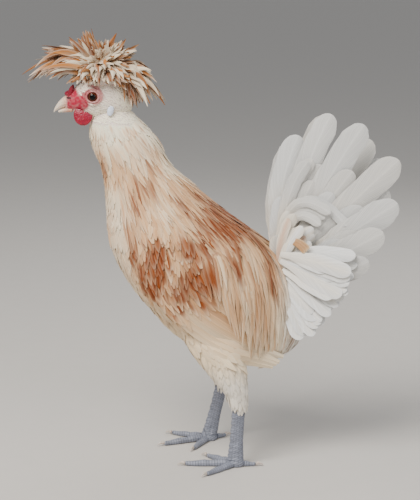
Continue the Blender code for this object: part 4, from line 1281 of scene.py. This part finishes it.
class COCKEREL_OT_wings(bpy.types.Operator):
    """Lays the flight feathers and the rows of coverts over each wing"""

    bl_idname = "cockerel.wings"
    bl_label = "Wings"

    def execute(self, context):
        looks = context.scene.cockerel_plumage
        material = feather_material("wing feathers", 60.0, 0.18, 0.3, Roughness=0.62)
        for side, name in SIDES:
            draw = random.Random(looks.seed + side)
            flock = Flock(BROAD, cup=0.06, ragged=0.2, seed=looks.seed + side + 5)
            self.flights(flock, side, draw, looks)
            self.coverts(flock, side, draw, looks)
            settled(flock.make("wing_feathers_" + name), material, "buff_feather")
        return {"FINISHED"}

    def lay(self, flock, side, line, high, power, roll, widths, thick, draw, looks):
        """Lays one feather on the flank, along x and z in millimetres."""
        path, normals = draped(SKIN["tree"], side, line, -0.6 * MM, high * MM, power)
        normals = rolled(path, normals, roll)
        tints = coat_tints("wing", path_spots(path), draw, looks, WING_STEPS)
        spot = np.array([[line[0][0], side * 50.0, line[0][1]]])
        share, height, _ = trunk_places(spot)
        home = trunk_home(spot, share, height)[0]
        flock.add(path, normals, widths * MM, thick, tints, home)

    def flights(self, flock, side, draw, looks):
        """Long feathers along the wing's lower edge, each over the one below."""
        widths = outline_at(FLIGHT, WING_STEPS) * 12.5
        for i, row in enumerate(smooth_run(FLIGHTS, 13)):
            root, middle, tip = row[:2], row[2:4], row[4:] + draw.uniform(-1.5, 1.5)
            line = [bend(root, middle, tip, t) for t in np.linspace(0, 1, WING_STEPS)]
            high = 2.2 + 0.14 * i
            self.lay(flock, side, line, high, 0.6, side * 7, widths, STOUT, draw, looks)

    def coverts(self, flock, side, draw, looks):
        """Rows of shorter feathers from the flights up to the shoulder."""
        outline = outline_at(FLUFF, WING_STEPS)
        for level, (fx, fz, lx, lz, count, length, width) in enumerate(COVERTS):
            for i in range(count):
                t = i / (count - 1)
                x = fx + (lx - fx) * t + draw.uniform(-2.5, 2.5)
                z = fz + (lz - fz) * t + draw.uniform(-3, 3)
                lean = -80 + 0.16 * (x + 80) + 6 * max(0, 3 - level)
                fall = math.radians(lean + draw.gauss(0, 6))
                long = length * draw.uniform(0.8, 1.15)
                root, way = np.array((x, z)), np.array((math.cos(fall), math.sin(fall)))
                while long > 8 and off_flank(SKIN["tree"], side, root + way * (long + 5)):
                    long *= 0.85
                line = [root + way * long * u for u in np.linspace(0, 1, WING_STEPS)]
                high = (2.5 + 0.2 * level) * draw.uniform(0.8, 1.15)
                roll = draw.gauss(0, 5)
                widths = outline * width * draw.uniform(0.85, 1.1)
                self.lay(flock, side, line, high, 0.7, roll, widths, MEDIUM, draw, looks)


class COCKEREL_OT_tail(bpy.types.Operator):
    """Spreads the main tail feathers, the sickles, the coverts and the fluff under them"""

    bl_idname = "cockerel.tail"
    bl_label = "Tail"

    def execute(self, context):
        looks = context.scene.cockerel_plumage
        draw = random.Random(looks.seed + 31)
        main = Flock(STIFF, cup=0.025, ragged=0.09, seed=looks.seed + 31)
        soft = Flock(SLIM, cup=0.14, ragged=0.08, seed=looks.seed + 32)
        for side in (LEFT, RIGHT):
            self.fan(main, side, draw)
            self.sickles(main, side, draw, looks)
            self.coverts(soft, side, draw, looks)
            self.fluff(soft, side, draw)
        stiff = feather_material("tail feathers", 120.0, 0.34, 0.5, Roughness=0.6)
        downy = feather_material("soft feathers", 34.0, 0.2, 0.3, Roughness=0.7)
        settled(main.make("tail_fan"), stiff, "white_feather", ["tail"])
        settled(soft.make("tail_coverts"), downy, "white_feather")
        return {"FINISHED"}

    def feather(self, flock, line, side, roll, width, tones):
        """A free feather on a curve, round at its tip, its lower edge turned outwards."""
        path = curve(line, eased(TAIL_STEPS))
        normals = np.tile(np.array((0.0, side, 0.0)), (TAIL_STEPS, 1))
        ahead = unit_rows(np.gradient(path, axis=0))
        normals = unit_rows(normals - ahead * (normals * ahead).sum(1, keepdims=True))
        normals = rolled(path, normals, -side * roll)
        self.keep(flock, path, normals, side, 0.3 + 0.5 * abs(line[2][1]) / 40, width, tones)

    def small(self, flock, side, root, run, lift, width, tones, draw):
        """A short soft feather bowed away from the straight line."""
        path = curve((root, root + run / 2 + lift, root + run), eased(DOWN_STEPS))
        out = np.tile(np.array((0.0, side, 0.25)), (DOWN_STEPS, 1))
        self.keep(flock, path, rolled(path, out, draw.gauss(0, 14)), side, 0.8, width, tones)

    def keep(self, flock, path, normals, side, height, width, tones):
        """Gives a feather its round tip, its colours and its root on the skin's unwrap."""
        tints = blended_tints(len(path), *tones)
        home = np.array((0.5 + side * height * 0.2, 0.62))
        thick = STOUT if len(path) == TAIL_STEPS else MEDIUM
        flock.add(path, normals, round_tip(path, width * MM), thick, tints, home)

    def fan(self, flock, side, draw):
        """Main feathers, and shorter ones that lie over each of them and beside it."""
        rows = TAIL_FAN[0 if side == LEFT else 1 :: 2]
        for level, share, turn in FAN_LAYERS:
            for i, (x, z, y, width, bow) in enumerate(rows):
                aside = side * (3 + 0.3 * i + level)
                start = np.array((TAIL_ROOT[0] + 0.6 * i, aside, TAIL_ROOT[1] - 2.5 * i))
                run = np.array((x, side * y, z)) - start
                run *= share * (draw.uniform(0.88, 1.1) if level else 1)
                angle = math.radians(turn * 12 + draw.gauss(0, 3) * min(level, 1))
                run[::2] = (
                    run[0] * math.cos(angle) - run[2] * math.sin(angle),
                    run[0] * math.sin(angle) + run[2] * math.cos(angle),
                )
                run[1] += side * level * 1.8
                front = np.array((-run[2], 0, run[0])) / np.linalg.norm(run)
                middle = start + run / 2 + front * bow * share + (0, side * 2, 0)
                tones = white_tones(draw, 0.93, 0.4, 0.93)
                broad = width * (1 - 0.14 * level)
                self.feather(flock, (start, middle, start + run), side, 6, broad, tones)

    def sickles(self, flock, side, draw, looks):
        """Curved feathers over the tail's root, two of each, and three warm ones by them."""
        start = np.array((TAIL_ROOT[0] - 3, side * 8.0, TAIL_ROOT[1] + 6))
        for mx, mz, tx, tz, y, width in SICKLES:
            for spread in (0, 1):
                off = np.array([draw.uniform(-5, 5) for _ in range(3)]) * spread
                middle = np.array((mx, side * y, mz)) + off
                tip = np.array((tx, side * (y + 3), tz)) + off * 1.6
                tones = white_tones(draw, 0.94, 0.5, 0.92)
                self.feather(flock, (start, middle, tip), side, 4, width, tones)
        warm = mixed(mixed(looks.buff, CREST_BROWN, 0.6), looks.cream, 0.25)
        for off in (0, 1, 2):
            middle = np.array((73 + off, side * 26, 234 + off * 1.5))
            tip = np.array((86 + off * 2, side * 31, 214 + off * 2))
            line = (start + (0, side * (8 + off), 11), middle, tip)
            tones = (warm, warm, mixed(warm, looks.cream, 0.3 * off), looks.cream)
            self.feather(flock, line, side, 8 * off - 8, 4.5, tones)

    def coverts(self, flock, side, draw, looks):
        """Feathers that stand round the tail's root and run up and back over it."""
        for _ in range(TAIL_COVERTS):
            t, y = draw.uniform(0.08, 1), draw.uniform(3, 19)
            root = np.array((58 + 22 * t, side * y, 202 - 30 * t + 3 * (1 - y / 19)))
            angle = math.radians(86 - 66 * t + draw.gauss(0, 9))
            long = draw.uniform(30, 58) * (1 - 0.25 * t)
            run = np.array((math.cos(angle), side * 0.16, math.sin(angle))) * long
            warm = 0.55 if t < 0.35 and draw.random() < 0.3 else 0.0
            tone = mixed(mixed(PALE, TAIL_WHITE, draw.random()), looks.buff, warm)
            tones = (tone, tone, PALE, tone)
            lift = np.array((-6, side * 5, 5)) * draw.uniform(0.4, 1)
            self.small(flock, side, root, run, lift, draw.uniform(9, 14), tones, draw)

    def fluff(self, flock, side, draw):
        """Broad loose feathers that fan out under the tail, down to the vent."""
        for _ in range(TAIL_FLUFF):
            t, y = draw.random(), draw.uniform(1, 28)
            root = np.array((62 + 8 * draw.random(), side * y * 0.85, 214 - 42 * t))
            angle = math.radians(-7 - 60 * t + draw.gauss(0, 6))
            long = (73 - 26 * t) * (1 - 0.5 * draw.random() ** 1.5)
            run = np.array((math.cos(angle), side * (0.06 + y / 90), math.sin(angle))) * long
            shade = draw.uniform(0.92, 1.02)
            tone = scaled(mixed(PALE, TAIL_WHITE, draw.uniform(0.3, 1)), shade)
            tones = (tone, tone, TAIL_WHITE, TAIL_WHITE)
            lift = np.array((1, side * 3, 4)) * draw.uniform(0.3, 1.2)
            self.small(flock, side, root, run, lift, draw.uniform(11, 18), tones, draw)


class COCKEREL_OT_crest(bpy.types.Operator):
    """Roots the crest on the knob of the skull: tousled tufts over short crown feathers"""

    bl_idname = "cockerel.crest"
    bl_label = "Crest"

    def execute(self, context):
        looks = context.scene.cockerel_plumage
        draw = random.Random(looks.seed + 61)
        flock = Flock(SOFT, cup=0.14, ragged=0.12, seed=looks.seed + 61)
        for side in (LEFT, RIGHT):
            for row in TUFTS:
                self.tuft(flock, side, draw, looks, row)
            self.crown(flock, side, draw, looks)
        material = feather_material("crest feathers", 30.0, 0.3, 0.4, Roughness=0.68)
        settled(flock.make("crest_feathers"), material, "buff_feather", ["crest"])
        return {"FINISHED"}

    def on_dome(self, spot):
        """The place a little under the knob's feathers in the direction of a point."""
        away = Vector(spot) - Vector(DOME_AT)
        far = Vector([away[k] / DOME_SIZE[k] for k in range(3)]).length
        return Vector(DOME_AT) + away * KNOB / far

    def plume(self, flock, line, side, draw, width, outline, tints):
        """A narrow feather along a curve in millimetres, its face up and out."""
        path = curve(line, np.linspace(0, 1, CREST_STEPS))
        out = np.tile(np.array((0.0, side * 0.8, 0.6)), (CREST_STEPS, 1))
        normals = rolled(path, out, draw.gauss(0, 16))
        widths = outline_at(outline, CREST_STEPS) * width * MM
        flock.add(path, normals, widths, FINE, tints, head_home(np.array([list(line[0])]))[0])

    def tuft(self, flock, side, draw, looks, row):
        """Loose feathers from one spot of the knob towards one tip."""
        rx, rz, tx, tz, reach, bow, pairs, warmth = row
        for i in range(pairs * 2):
            aside = side * reach * (i + draw.uniform(0.2, 1.2)) / (pairs * 2)
            spot = (rx + draw.gauss(0, 3.5), aside * 0.45, rz + draw.gauss(0, 2))
            root = self.on_dome(spot)
            tip = Vector((tx, aside, tz)) + strayed(draw, looks.tousle * 4.5)
            tip.z = min(tip.z, CREST_TOP)
            tip = root.lerp(tip, draw.uniform(0.62, 1.03) * looks.crest)
            curl = Vector((draw.gauss(0, 2), draw.gauss(0, 2), bow * draw.uniform(0.7, 1.4)))
            line = (root, root.lerp(tip, 0.5) + curl, tip)
            width = draw.uniform(4.2, 7.4)
            tints = self.tints(draw, looks, warmth)
            self.plume(flock, line, side, draw, width, LANCE, tints)

    def crown(self, flock, side, draw, looks):
        """Short pale feathers that lie back and out over the whole knob."""
        for _ in range(CROWN):
            turn, lift = draw.uniform(-0.15, 3.3), draw.uniform(-0.05, 1.5)
            level = math.cos(lift)
            out = (-math.cos(turn) * level, side * math.sin(turn) * level, math.sin(lift))
            out = Vector(out)
            root = self.on_dome(Vector(DOME_AT) + out * 10)
            lie = Vector((0.5 * out.x + 0.25, side * 0.3 * level, 0.1 - 0.8 * level))
            lie += strayed(draw, 0.16)
            run = (out * 0.4 + lie).normalized() * draw.uniform(12, 22)
            if out.x < 0.3 and root.z + run.z < 378:
                run *= 0.45
            line = (root, root + run / 2 + out * draw.uniform(1.0, 3.0), root + run)
            warmth = 0.8 if out.x > 0.2 and draw.random() < 0.6 else 0.2
            tints = self.tints(draw, looks, warmth)
            self.plume(flock, line, side, draw, draw.uniform(3.0, 4.8), FLUFF, tints)

    def tints(self, draw, looks, warmth):
        """Rust or buff as often as the warmth says, else cream or white."""
        pick, a, b = draw.random(), draw.random(), draw.random()
        if pick < 1.1 * warmth + 0.1:
            middle = mixed(looks.rust, looks.buff, 0.9 * a)
            middle = mixed(middle, CREST_BROWN, 0.1 + 0.7 * b)
        else:
            middle = mixed(mixed(looks.cream, CREST_BROWN, 0.4 * a), PALE, 0.3)
        edge = mixed(middle, PALE, draw.uniform(0.1, 0.6))
        tip = mixed(middle, PALE, draw.choice((0.0, 0.3, 0.7)))
        root = mixed(middle, looks.cream, draw.choice((0.0, 0.3, 0.6)))
        shade = draw.uniform(0.76, 1.0)
        tones = [scaled(tone, shade) for tone in (root, middle, edge, tip)]
        return blended_tints(CREST_STEPS, *tones)


class COCKEREL_OT_eyes(bpy.types.Operator):
    """Turns each eye: a ball with a raised cornea, iris and pupil"""

    bl_idname = "cockerel.eyes"
    bl_label = "Eyes"

    def execute(self, context):
        iris = context.scene.cockerel_skin.iris
        for side, name in SIDES:
            at = place(EYE[0], side * EYE[1], EYE[2])
            ball = round_form("eyeball_" + name, Vector(), (EYE_RADIUS * MM,) * 3, 48, 32)
            ball.data.transform(Matrix.Rotation(math.radians(90), 4, "X"))
            for vert in ball.data.vertices:
                far = math.hypot(vert.co.x, vert.co.z) / MM
                bulge = max(0.0, 1 - (far / 3.9) ** 2)
                vert.co.y += math.copysign(0.5 * MM * bulge, vert.co.y)
            ball.data.transform(Matrix.Translation(at))
            ball.data.shade_smooth()
            settled(ball, self.material(at, name, iris), "eye", ["eye_" + name])
        return {"FINISHED"}

    def material(self, at, name, iris):
        """Pupil, iris with fine rays and a dark rim, by distance from the eye's axis."""
        made, tree, shader = new_material(
            "eye " + name, Roughness=0.05, Specular_IOR_Level=0.2
        )
        where = node(tree, "TexCoord").outputs["Object"]
        away = node(tree, "VectorMath", where, at, operation="SUBTRACT").outputs[0]
        flat = node(tree, "VectorMath", away, (1000, 0, 1000), operation="MULTIPLY").outputs[0]
        far = node(tree, "VectorMath", flat, operation="LENGTH").outputs["Value"]
        rays = node(tree, "TexNoise", flat, in_Scale=1.6, in_Detail=4.0).outputs["Fac"]
        moved = maths(tree, "MULTIPLY_ADD", rays, 0.5, far)
        ramp = node(tree, "ValToRGB", maths(tree, "DIVIDE", moved, EYE_RADIUS))
        stops = ramp.color_ramp.elements
        stops[0].position, stops[0].color = 0.43, (0.003, 0.002, 0.002, 1)
        stops[1].position, stops[1].color = 0.50, (*iris, 1)
        rim, dark = stops.new(0.66), stops.new(0.74)
        rim.color = (*scaled(iris, 0.5), 1)
        dark.color = (0.01, 0.006, 0.005, 1)
        tree.links.new(ramp.outputs["Color"], shader.inputs["Base Color"])
        return made


class COCKEREL_OT_beak(bpy.types.Operator):
    """Rounds the two halves of the beak and gives them layered horn"""

    bl_idname = "cockerel.beak"
    bl_label = "Beak"

    def execute(self, context):
        horn = context.scene.cockerel_skin.horn
        nodes = ["beak_upper", "beak_lower"]
        beak = soft_copy(nodes, "beak", 0.00035, 2)
        settled(beak, horn_material("beak horn", horn, -150, (0.8, 0.5, 0.42)), "horn", nodes)
        return {"FINISHED"}


class COCKEREL_OT_fleshy(bpy.types.Operator):
    """Comb, wattles and ear lobes with their folds and grain"""

    bl_idname = "cockerel.fleshy"
    bl_label = "Comb, wattles, lobes"

    def execute(self, context):
        tones = context.scene.cockerel_skin
        looks = {"Roughness": 0.36, "Subsurface_Weight": 0.15, "Coat_Weight": 0.1}
        deep = scaled(tones.red, 0.74)
        red = pebbled_material("red skin", deep, 700.0, 0.35, 0.5, **looks)
        white = pebbled_material("lobe skin", tones.lobe, 700.0, 0.12, 0.3, Roughness=0.5)
        rows = (
            ("comb_horns", ("comb",), red, "red_skin", 1.3),
            ("wattle_lappets", ("wattle_left", "wattle_right"), red, "red_skin", 1.6),
            ("ear_lobes", ("earlobe_left", "earlobe_right"), white, "lobe_skin", 1.2),
        )
        for name, nodes, material, slot, fold in rows:
            piece = soft_copy(nodes, name, 0.0004, 3)
            if name == "comb_horns":
                self.seat(piece)
            self.fold(piece, fold)
            settled(piece, material, slot, nodes)
        return {"FINISHED"}

    def seat(self, comb):
        """Makes the comb a little fuller and sets it lower at the beak's root."""
        spots = places_of(comb)
        base = (spots.min(axis=0) + spots.max(axis=0)) / 2
        base[2] = spots[:, 2].min()
        move_to(comb, base + (spots - base) * (1.25, 1.2, 1.15) - (0, 0, 3 * MM))

    def fold(self, piece, strength):
        """Shallow creases that run down the flesh."""
        normals = [vert.normal.copy() for vert in piece.data.vertices]
        for vert, normal in zip(piece.data.vertices, normals):
            at = vert.co / MM
            crease = noise.noise(Vector((at.x * 0.5, at.y * 0.4, at.z * 0.14)))
            fine = noise.noise(at * 1.1)
            vert.co += normal * (crease * 0.3 + fine * 0.12) * strength * MM * 0.5


class COCKEREL_OT_legs(bpy.types.Operator):
    """Shanks and toes with rows of plates, and the claws"""

    bl_idname = "cockerel.legs"
    bl_label = "Legs and claws"

    TOES = ("middle", "outer", "inner", "hind")
    # A claw's length and the height of its root, in millimetres
    CLAW_LONG, CLAW_HIGH = 7.6, 2.8
    # Half the angle that the plates down the front of a shank cover, in radians
    FRONT = 0.95

    def execute(self, context):
        tones = context.scene.cockerel_skin
        scales = pebbled_material(
            "leg scales", None, 1500.0, 0.2, 0.3, Roughness=0.48, Coat_Weight=0.06
        )
        horn = mixed(tones.horn, tones.scale, 0.35)
        claw = horn_material("claw horn", horn, 400, (1, 1, 1))
        for side in ("left", "right"):
            ends = [self.claw_ends(side, toe) for toe in self.TOES]
            nodes = ["shank_" + side] + [f"toe_{toe}_{side}" for toe in self.TOES]
            leg = soft_copy(nodes, "leg_" + side, 0.0004, 4)
            self.shape_plates(leg, side, ends, tones.scale)
            settled(leg, scales, "slate_scale", nodes)
            nodes = [f"claw_{toe}_{side}" for toe in self.TOES]
            claws = soft_copy(nodes, "claws_" + side, 0.00035, 2)
            self.swell(claws, ends)
            settled(claws, claw, "horn", nodes)
        return {"FINISHED"}

    def from_shank(self, spots, side):
        """How far places lie from the middle of the shank, seen from above."""
        foot = np.mean(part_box("shank_" + side), axis=0)
        return np.hypot(*(spots - foot)[:, :2].T)

    def claw_ends(self, side, toe):
        """Where a claw leaves its toe, and its tip."""
        spots = places_of(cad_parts[f"claw_{toe}_{side}"])
        order = self.from_shank(spots, side).argsort()
        tip = spots[order[-1]]
        run = (spots[order[:6]].mean(axis=0) - tip) * (1, 1, 0)
        root = tip * (1, 1, 0) + unit_rows(run) * self.CLAW_LONG * MM
        return root + (0, 0, self.CLAW_HIGH * MM), tip

    def swell(self, claws, ends):
        """Thickens each claw at its root and keeps its point."""
        for vert in claws.data.vertices:
            root, tip = min(ends, key=lambda end: np.linalg.norm(end[0] - vert.co))
            run = tip - root
            t = (vert.co - Vector(root)).dot(Vector(run)) / (run @ run)
            axis, t = Vector(root + run * t), min(max(t, -0.2), 1)
            thick = 0.3 + 1.05 * float(soft_step(-0.1, 0.1, t)) - 0.15 * t
            vert.co = axis + (vert.co - axis) * thick
            arch = math.sin(math.pi * max(t, 0)) * 1.1 * MM
            vert.co.z = max(vert.co.z + arch, 0.0001)

    def shape_plates(self, leg, side, ends, colour):
        """Rows of raised plates with darker seams, and toes that narrow to their claws."""
        spots = places_of(leg)
        normals = np.array([vert.normal[:] for vert in leg.data.vertices])
        high = spots[:, 2] / MM
        low_end, top_end = (spots[(high > z) & (high < z + 6)].mean(axis=0) for z in (16, 52))
        rise = (spots[:, 2:] - low_end[2]) / (top_end[2] - low_end[2])
        away = spots - low_end - (top_end - low_end) * rise
        plate = self.plates(away, high, self.from_shank(spots, side) / MM)
        lift = soft_step(0.4, 2.0, high) * (plate * 0.32 - 0.12)
        spots += normals * lift[:, None] * MM
        spots[:, 0] -= away[:, 0] * 0.11 * soft_step(18, 58, high)
        for root, tip in ends:
            spots = self.narrowed(spots, root, tip)
        spots[:, 2] = np.maximum(spots[:, 2], 0)
        move_to(leg, spots)
        mottle = [noise.noise(Vector(spot)) for spot in (spots * 160).tolist()]
        shade = (0.55 + 0.5 * plate) * (1 + 0.25 * np.array(mottle))
        paint(leg, np.array(colour)[:3] * shade[:, None])

    def plates(self, away, high, reach):
        """One on a plate and nought in a seam: down the shank, at its back, along the toes."""
        turn = np.arctan2(away[:, 1], -away[:, 0])
        aside = abs(turn)
        front = aside < self.FRONT
        row = np.where(front, high / 3.1 + 0.15 * np.cos(2 * turn), high / 2.2 - 1.1 * aside)
        back = (aside - self.FRONT) / 1.1 + 0.5 * np.floor(row)
        split = np.where(front, turn / self.FRONT, back)
        edge = abs(split - np.round(split)) * np.where(front, 5.5, 5.0)
        on_toe = soft_step(14, 11, high) * soft_step(7, 10, reach)
        row = np.where(on_toe > 0.5, reach / 2.7, row)
        edge = np.where(on_toe > 0.5, 9, edge)
        return soft_step(0.0, 0.24, abs(row - np.round(row))) * soft_step(0, 0.5, edge)

    def narrowed(self, spots, root, tip):
        """Draws a toe's end in towards the line of its claw."""
        back = unit_rows(root - tip)
        along = (spots - root) @ back
        axis = root + back * along[:, None]
        near = (along < 10 * MM) & (np.linalg.norm(spots - axis, axis=1) < 7 * MM)
        taper = 0.26 * soft_step(10, 0, along / MM) + 0.5 * soft_step(1.6, -0.4, along / MM)
        narrow = np.where(near, taper, 0)[:, None] * (1, 1, 1)
        narrow[:, 2] *= np.where(spots[:, 2] < axis[:, 2], 0.5, 1)
        return spots + (axis - spots) * narrow


class COCKEREL_OT_studio(bpy.types.Operator):
    """Sets a pale floor, soft lights and the camera"""

    bl_idname = "cockerel.studio"
    bl_label = "Studio"

    def execute(self, context):
        looks = context.scene.cockerel_studio
        self.floor(looks)
        self.lights(context, looks)
        data = bpy.data.cameras.new("camera")
        data.lens, data.sensor_width = looks.lens, 36
        camera = linked("camera", data)
        camera.location = Vector((-0.007, -1.5, 0.503)) + SHIFT
        camera.rotation_euler = (math.radians(79), 0, 0)
        context.scene.camera = camera
        return {"FINISHED"}

    def floor(self, looks):
        """A wide flat sheet under the bird."""
        grid = bpy.ops.mesh.primitive_grid_add
        sheet = added(grid, x_subdivisions=40, y_subdivisions=40, size=50)
        sheet.name = "floor"
        made, tree, shader = new_material("pale floor", Roughness=0.9)
        where = node(tree, "TexCoord").outputs["Object"]
        grain = node(tree, "TexNoise", where, in_Scale=40.0, in_Detail=6.0).outputs["Fac"]
        tone = colour_mix(tree, grain, scaled(looks.floor, 0.95), looks.floor)
        tree.links.new(tone, shader.inputs["Base Color"])
        sheet.data.materials.append(made)

    def lights(self, context, looks):
        world = context.scene.world or bpy.data.worlds.new("world")
        context.scene.world = world
        world.use_nodes = True
        sky = world.node_tree.nodes["Background"]
        sky.inputs["Color"].default_value = (0.92, 0.95, 1.0, 1)
        sky.inputs["Strength"].default_value = looks.sky
        rows = (
            ("key", looks.key, 1.0, (-0.7, -1.0, 1.6), (1, 0.97, 0.92)),
            ("fill", looks.fill, 1.2, (1.2, -1.6, 1.1), (0.95, 0.97, 1)),
            ("rim", looks.fill * 0.6, 1.0, (0.6, 1.0, 1.1), (1, 1, 1)),
        )
        for name, power, size, at, colour in rows:
            data = bpy.data.lights.new(name, "AREA")
            data.energy, data.size, data.color = power, size, colour
            light = linked(name, data)
            light.location = at
            aim = Vector((0, 0, 0.2)) - Vector(at)
            light.rotation_euler = aim.to_track_quat("-Z", "Y").to_euler()


OPERATORS = (
    COCKEREL_OT_skin,
    COCKEREL_OT_coat,
    COCKEREL_OT_wings,
    COCKEREL_OT_tail,
    COCKEREL_OT_crest,
    COCKEREL_OT_eyes,
    COCKEREL_OT_beak,
    COCKEREL_OT_fleshy,
    COCKEREL_OT_legs,
    COCKEREL_OT_studio,
)
SETTINGS = {
    "cockerel_plumage": PlumageSettings,
    "cockerel_skin": SkinSettings,
    "cockerel_studio": StudioSettings,
}


class COCKEREL_PT_panel(bpy.types.Panel):
    """Steps and settings of the cockerel"""

    bl_idname = "COCKEREL_PT_panel"
    bl_label = "Cockerel"
    bl_space_type = "VIEW_3D"
    bl_region_type = "UI"
    bl_category = "Cockerel"

    def draw(self, context):
        for operator in OPERATORS:
            self.layout.operator(operator.bl_idname)
        for key in SETTINGS:
            group = getattr(context.scene, key)
            box = self.layout.box()
            for name in group.bl_rna.properties.keys():
                if name not in ("rna_type", "name"):
                    box.prop(group, name)


def register():
    for kind in (*SETTINGS.values(), *OPERATORS, COCKEREL_PT_panel):
        bpy.utils.register_class(kind)
    for key, kind in SETTINGS.items():
        setattr(bpy.types.Scene, key, PointerProperty(type=kind))


def unregister():
    for key in SETTINGS:
        delattr(bpy.types.Scene, key)
    for kind in (COCKEREL_PT_panel, *OPERATORS, *SETTINGS.values()):
        bpy.utils.unregister_class(kind)


def main():
    register()
    bpy.ops.cockerel.skin()
    bpy.ops.cockerel.coat()
    bpy.ops.cockerel.wings()
    bpy.ops.cockerel.tail()
    bpy.ops.cockerel.crest()
    bpy.ops.cockerel.eyes()
    bpy.ops.cockerel.beak()
    bpy.ops.cockerel.fleshy()
    bpy.ops.cockerel.legs()
    bpy.ops.cockerel.studio()
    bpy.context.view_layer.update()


if __name__ == "__main__":
    main()
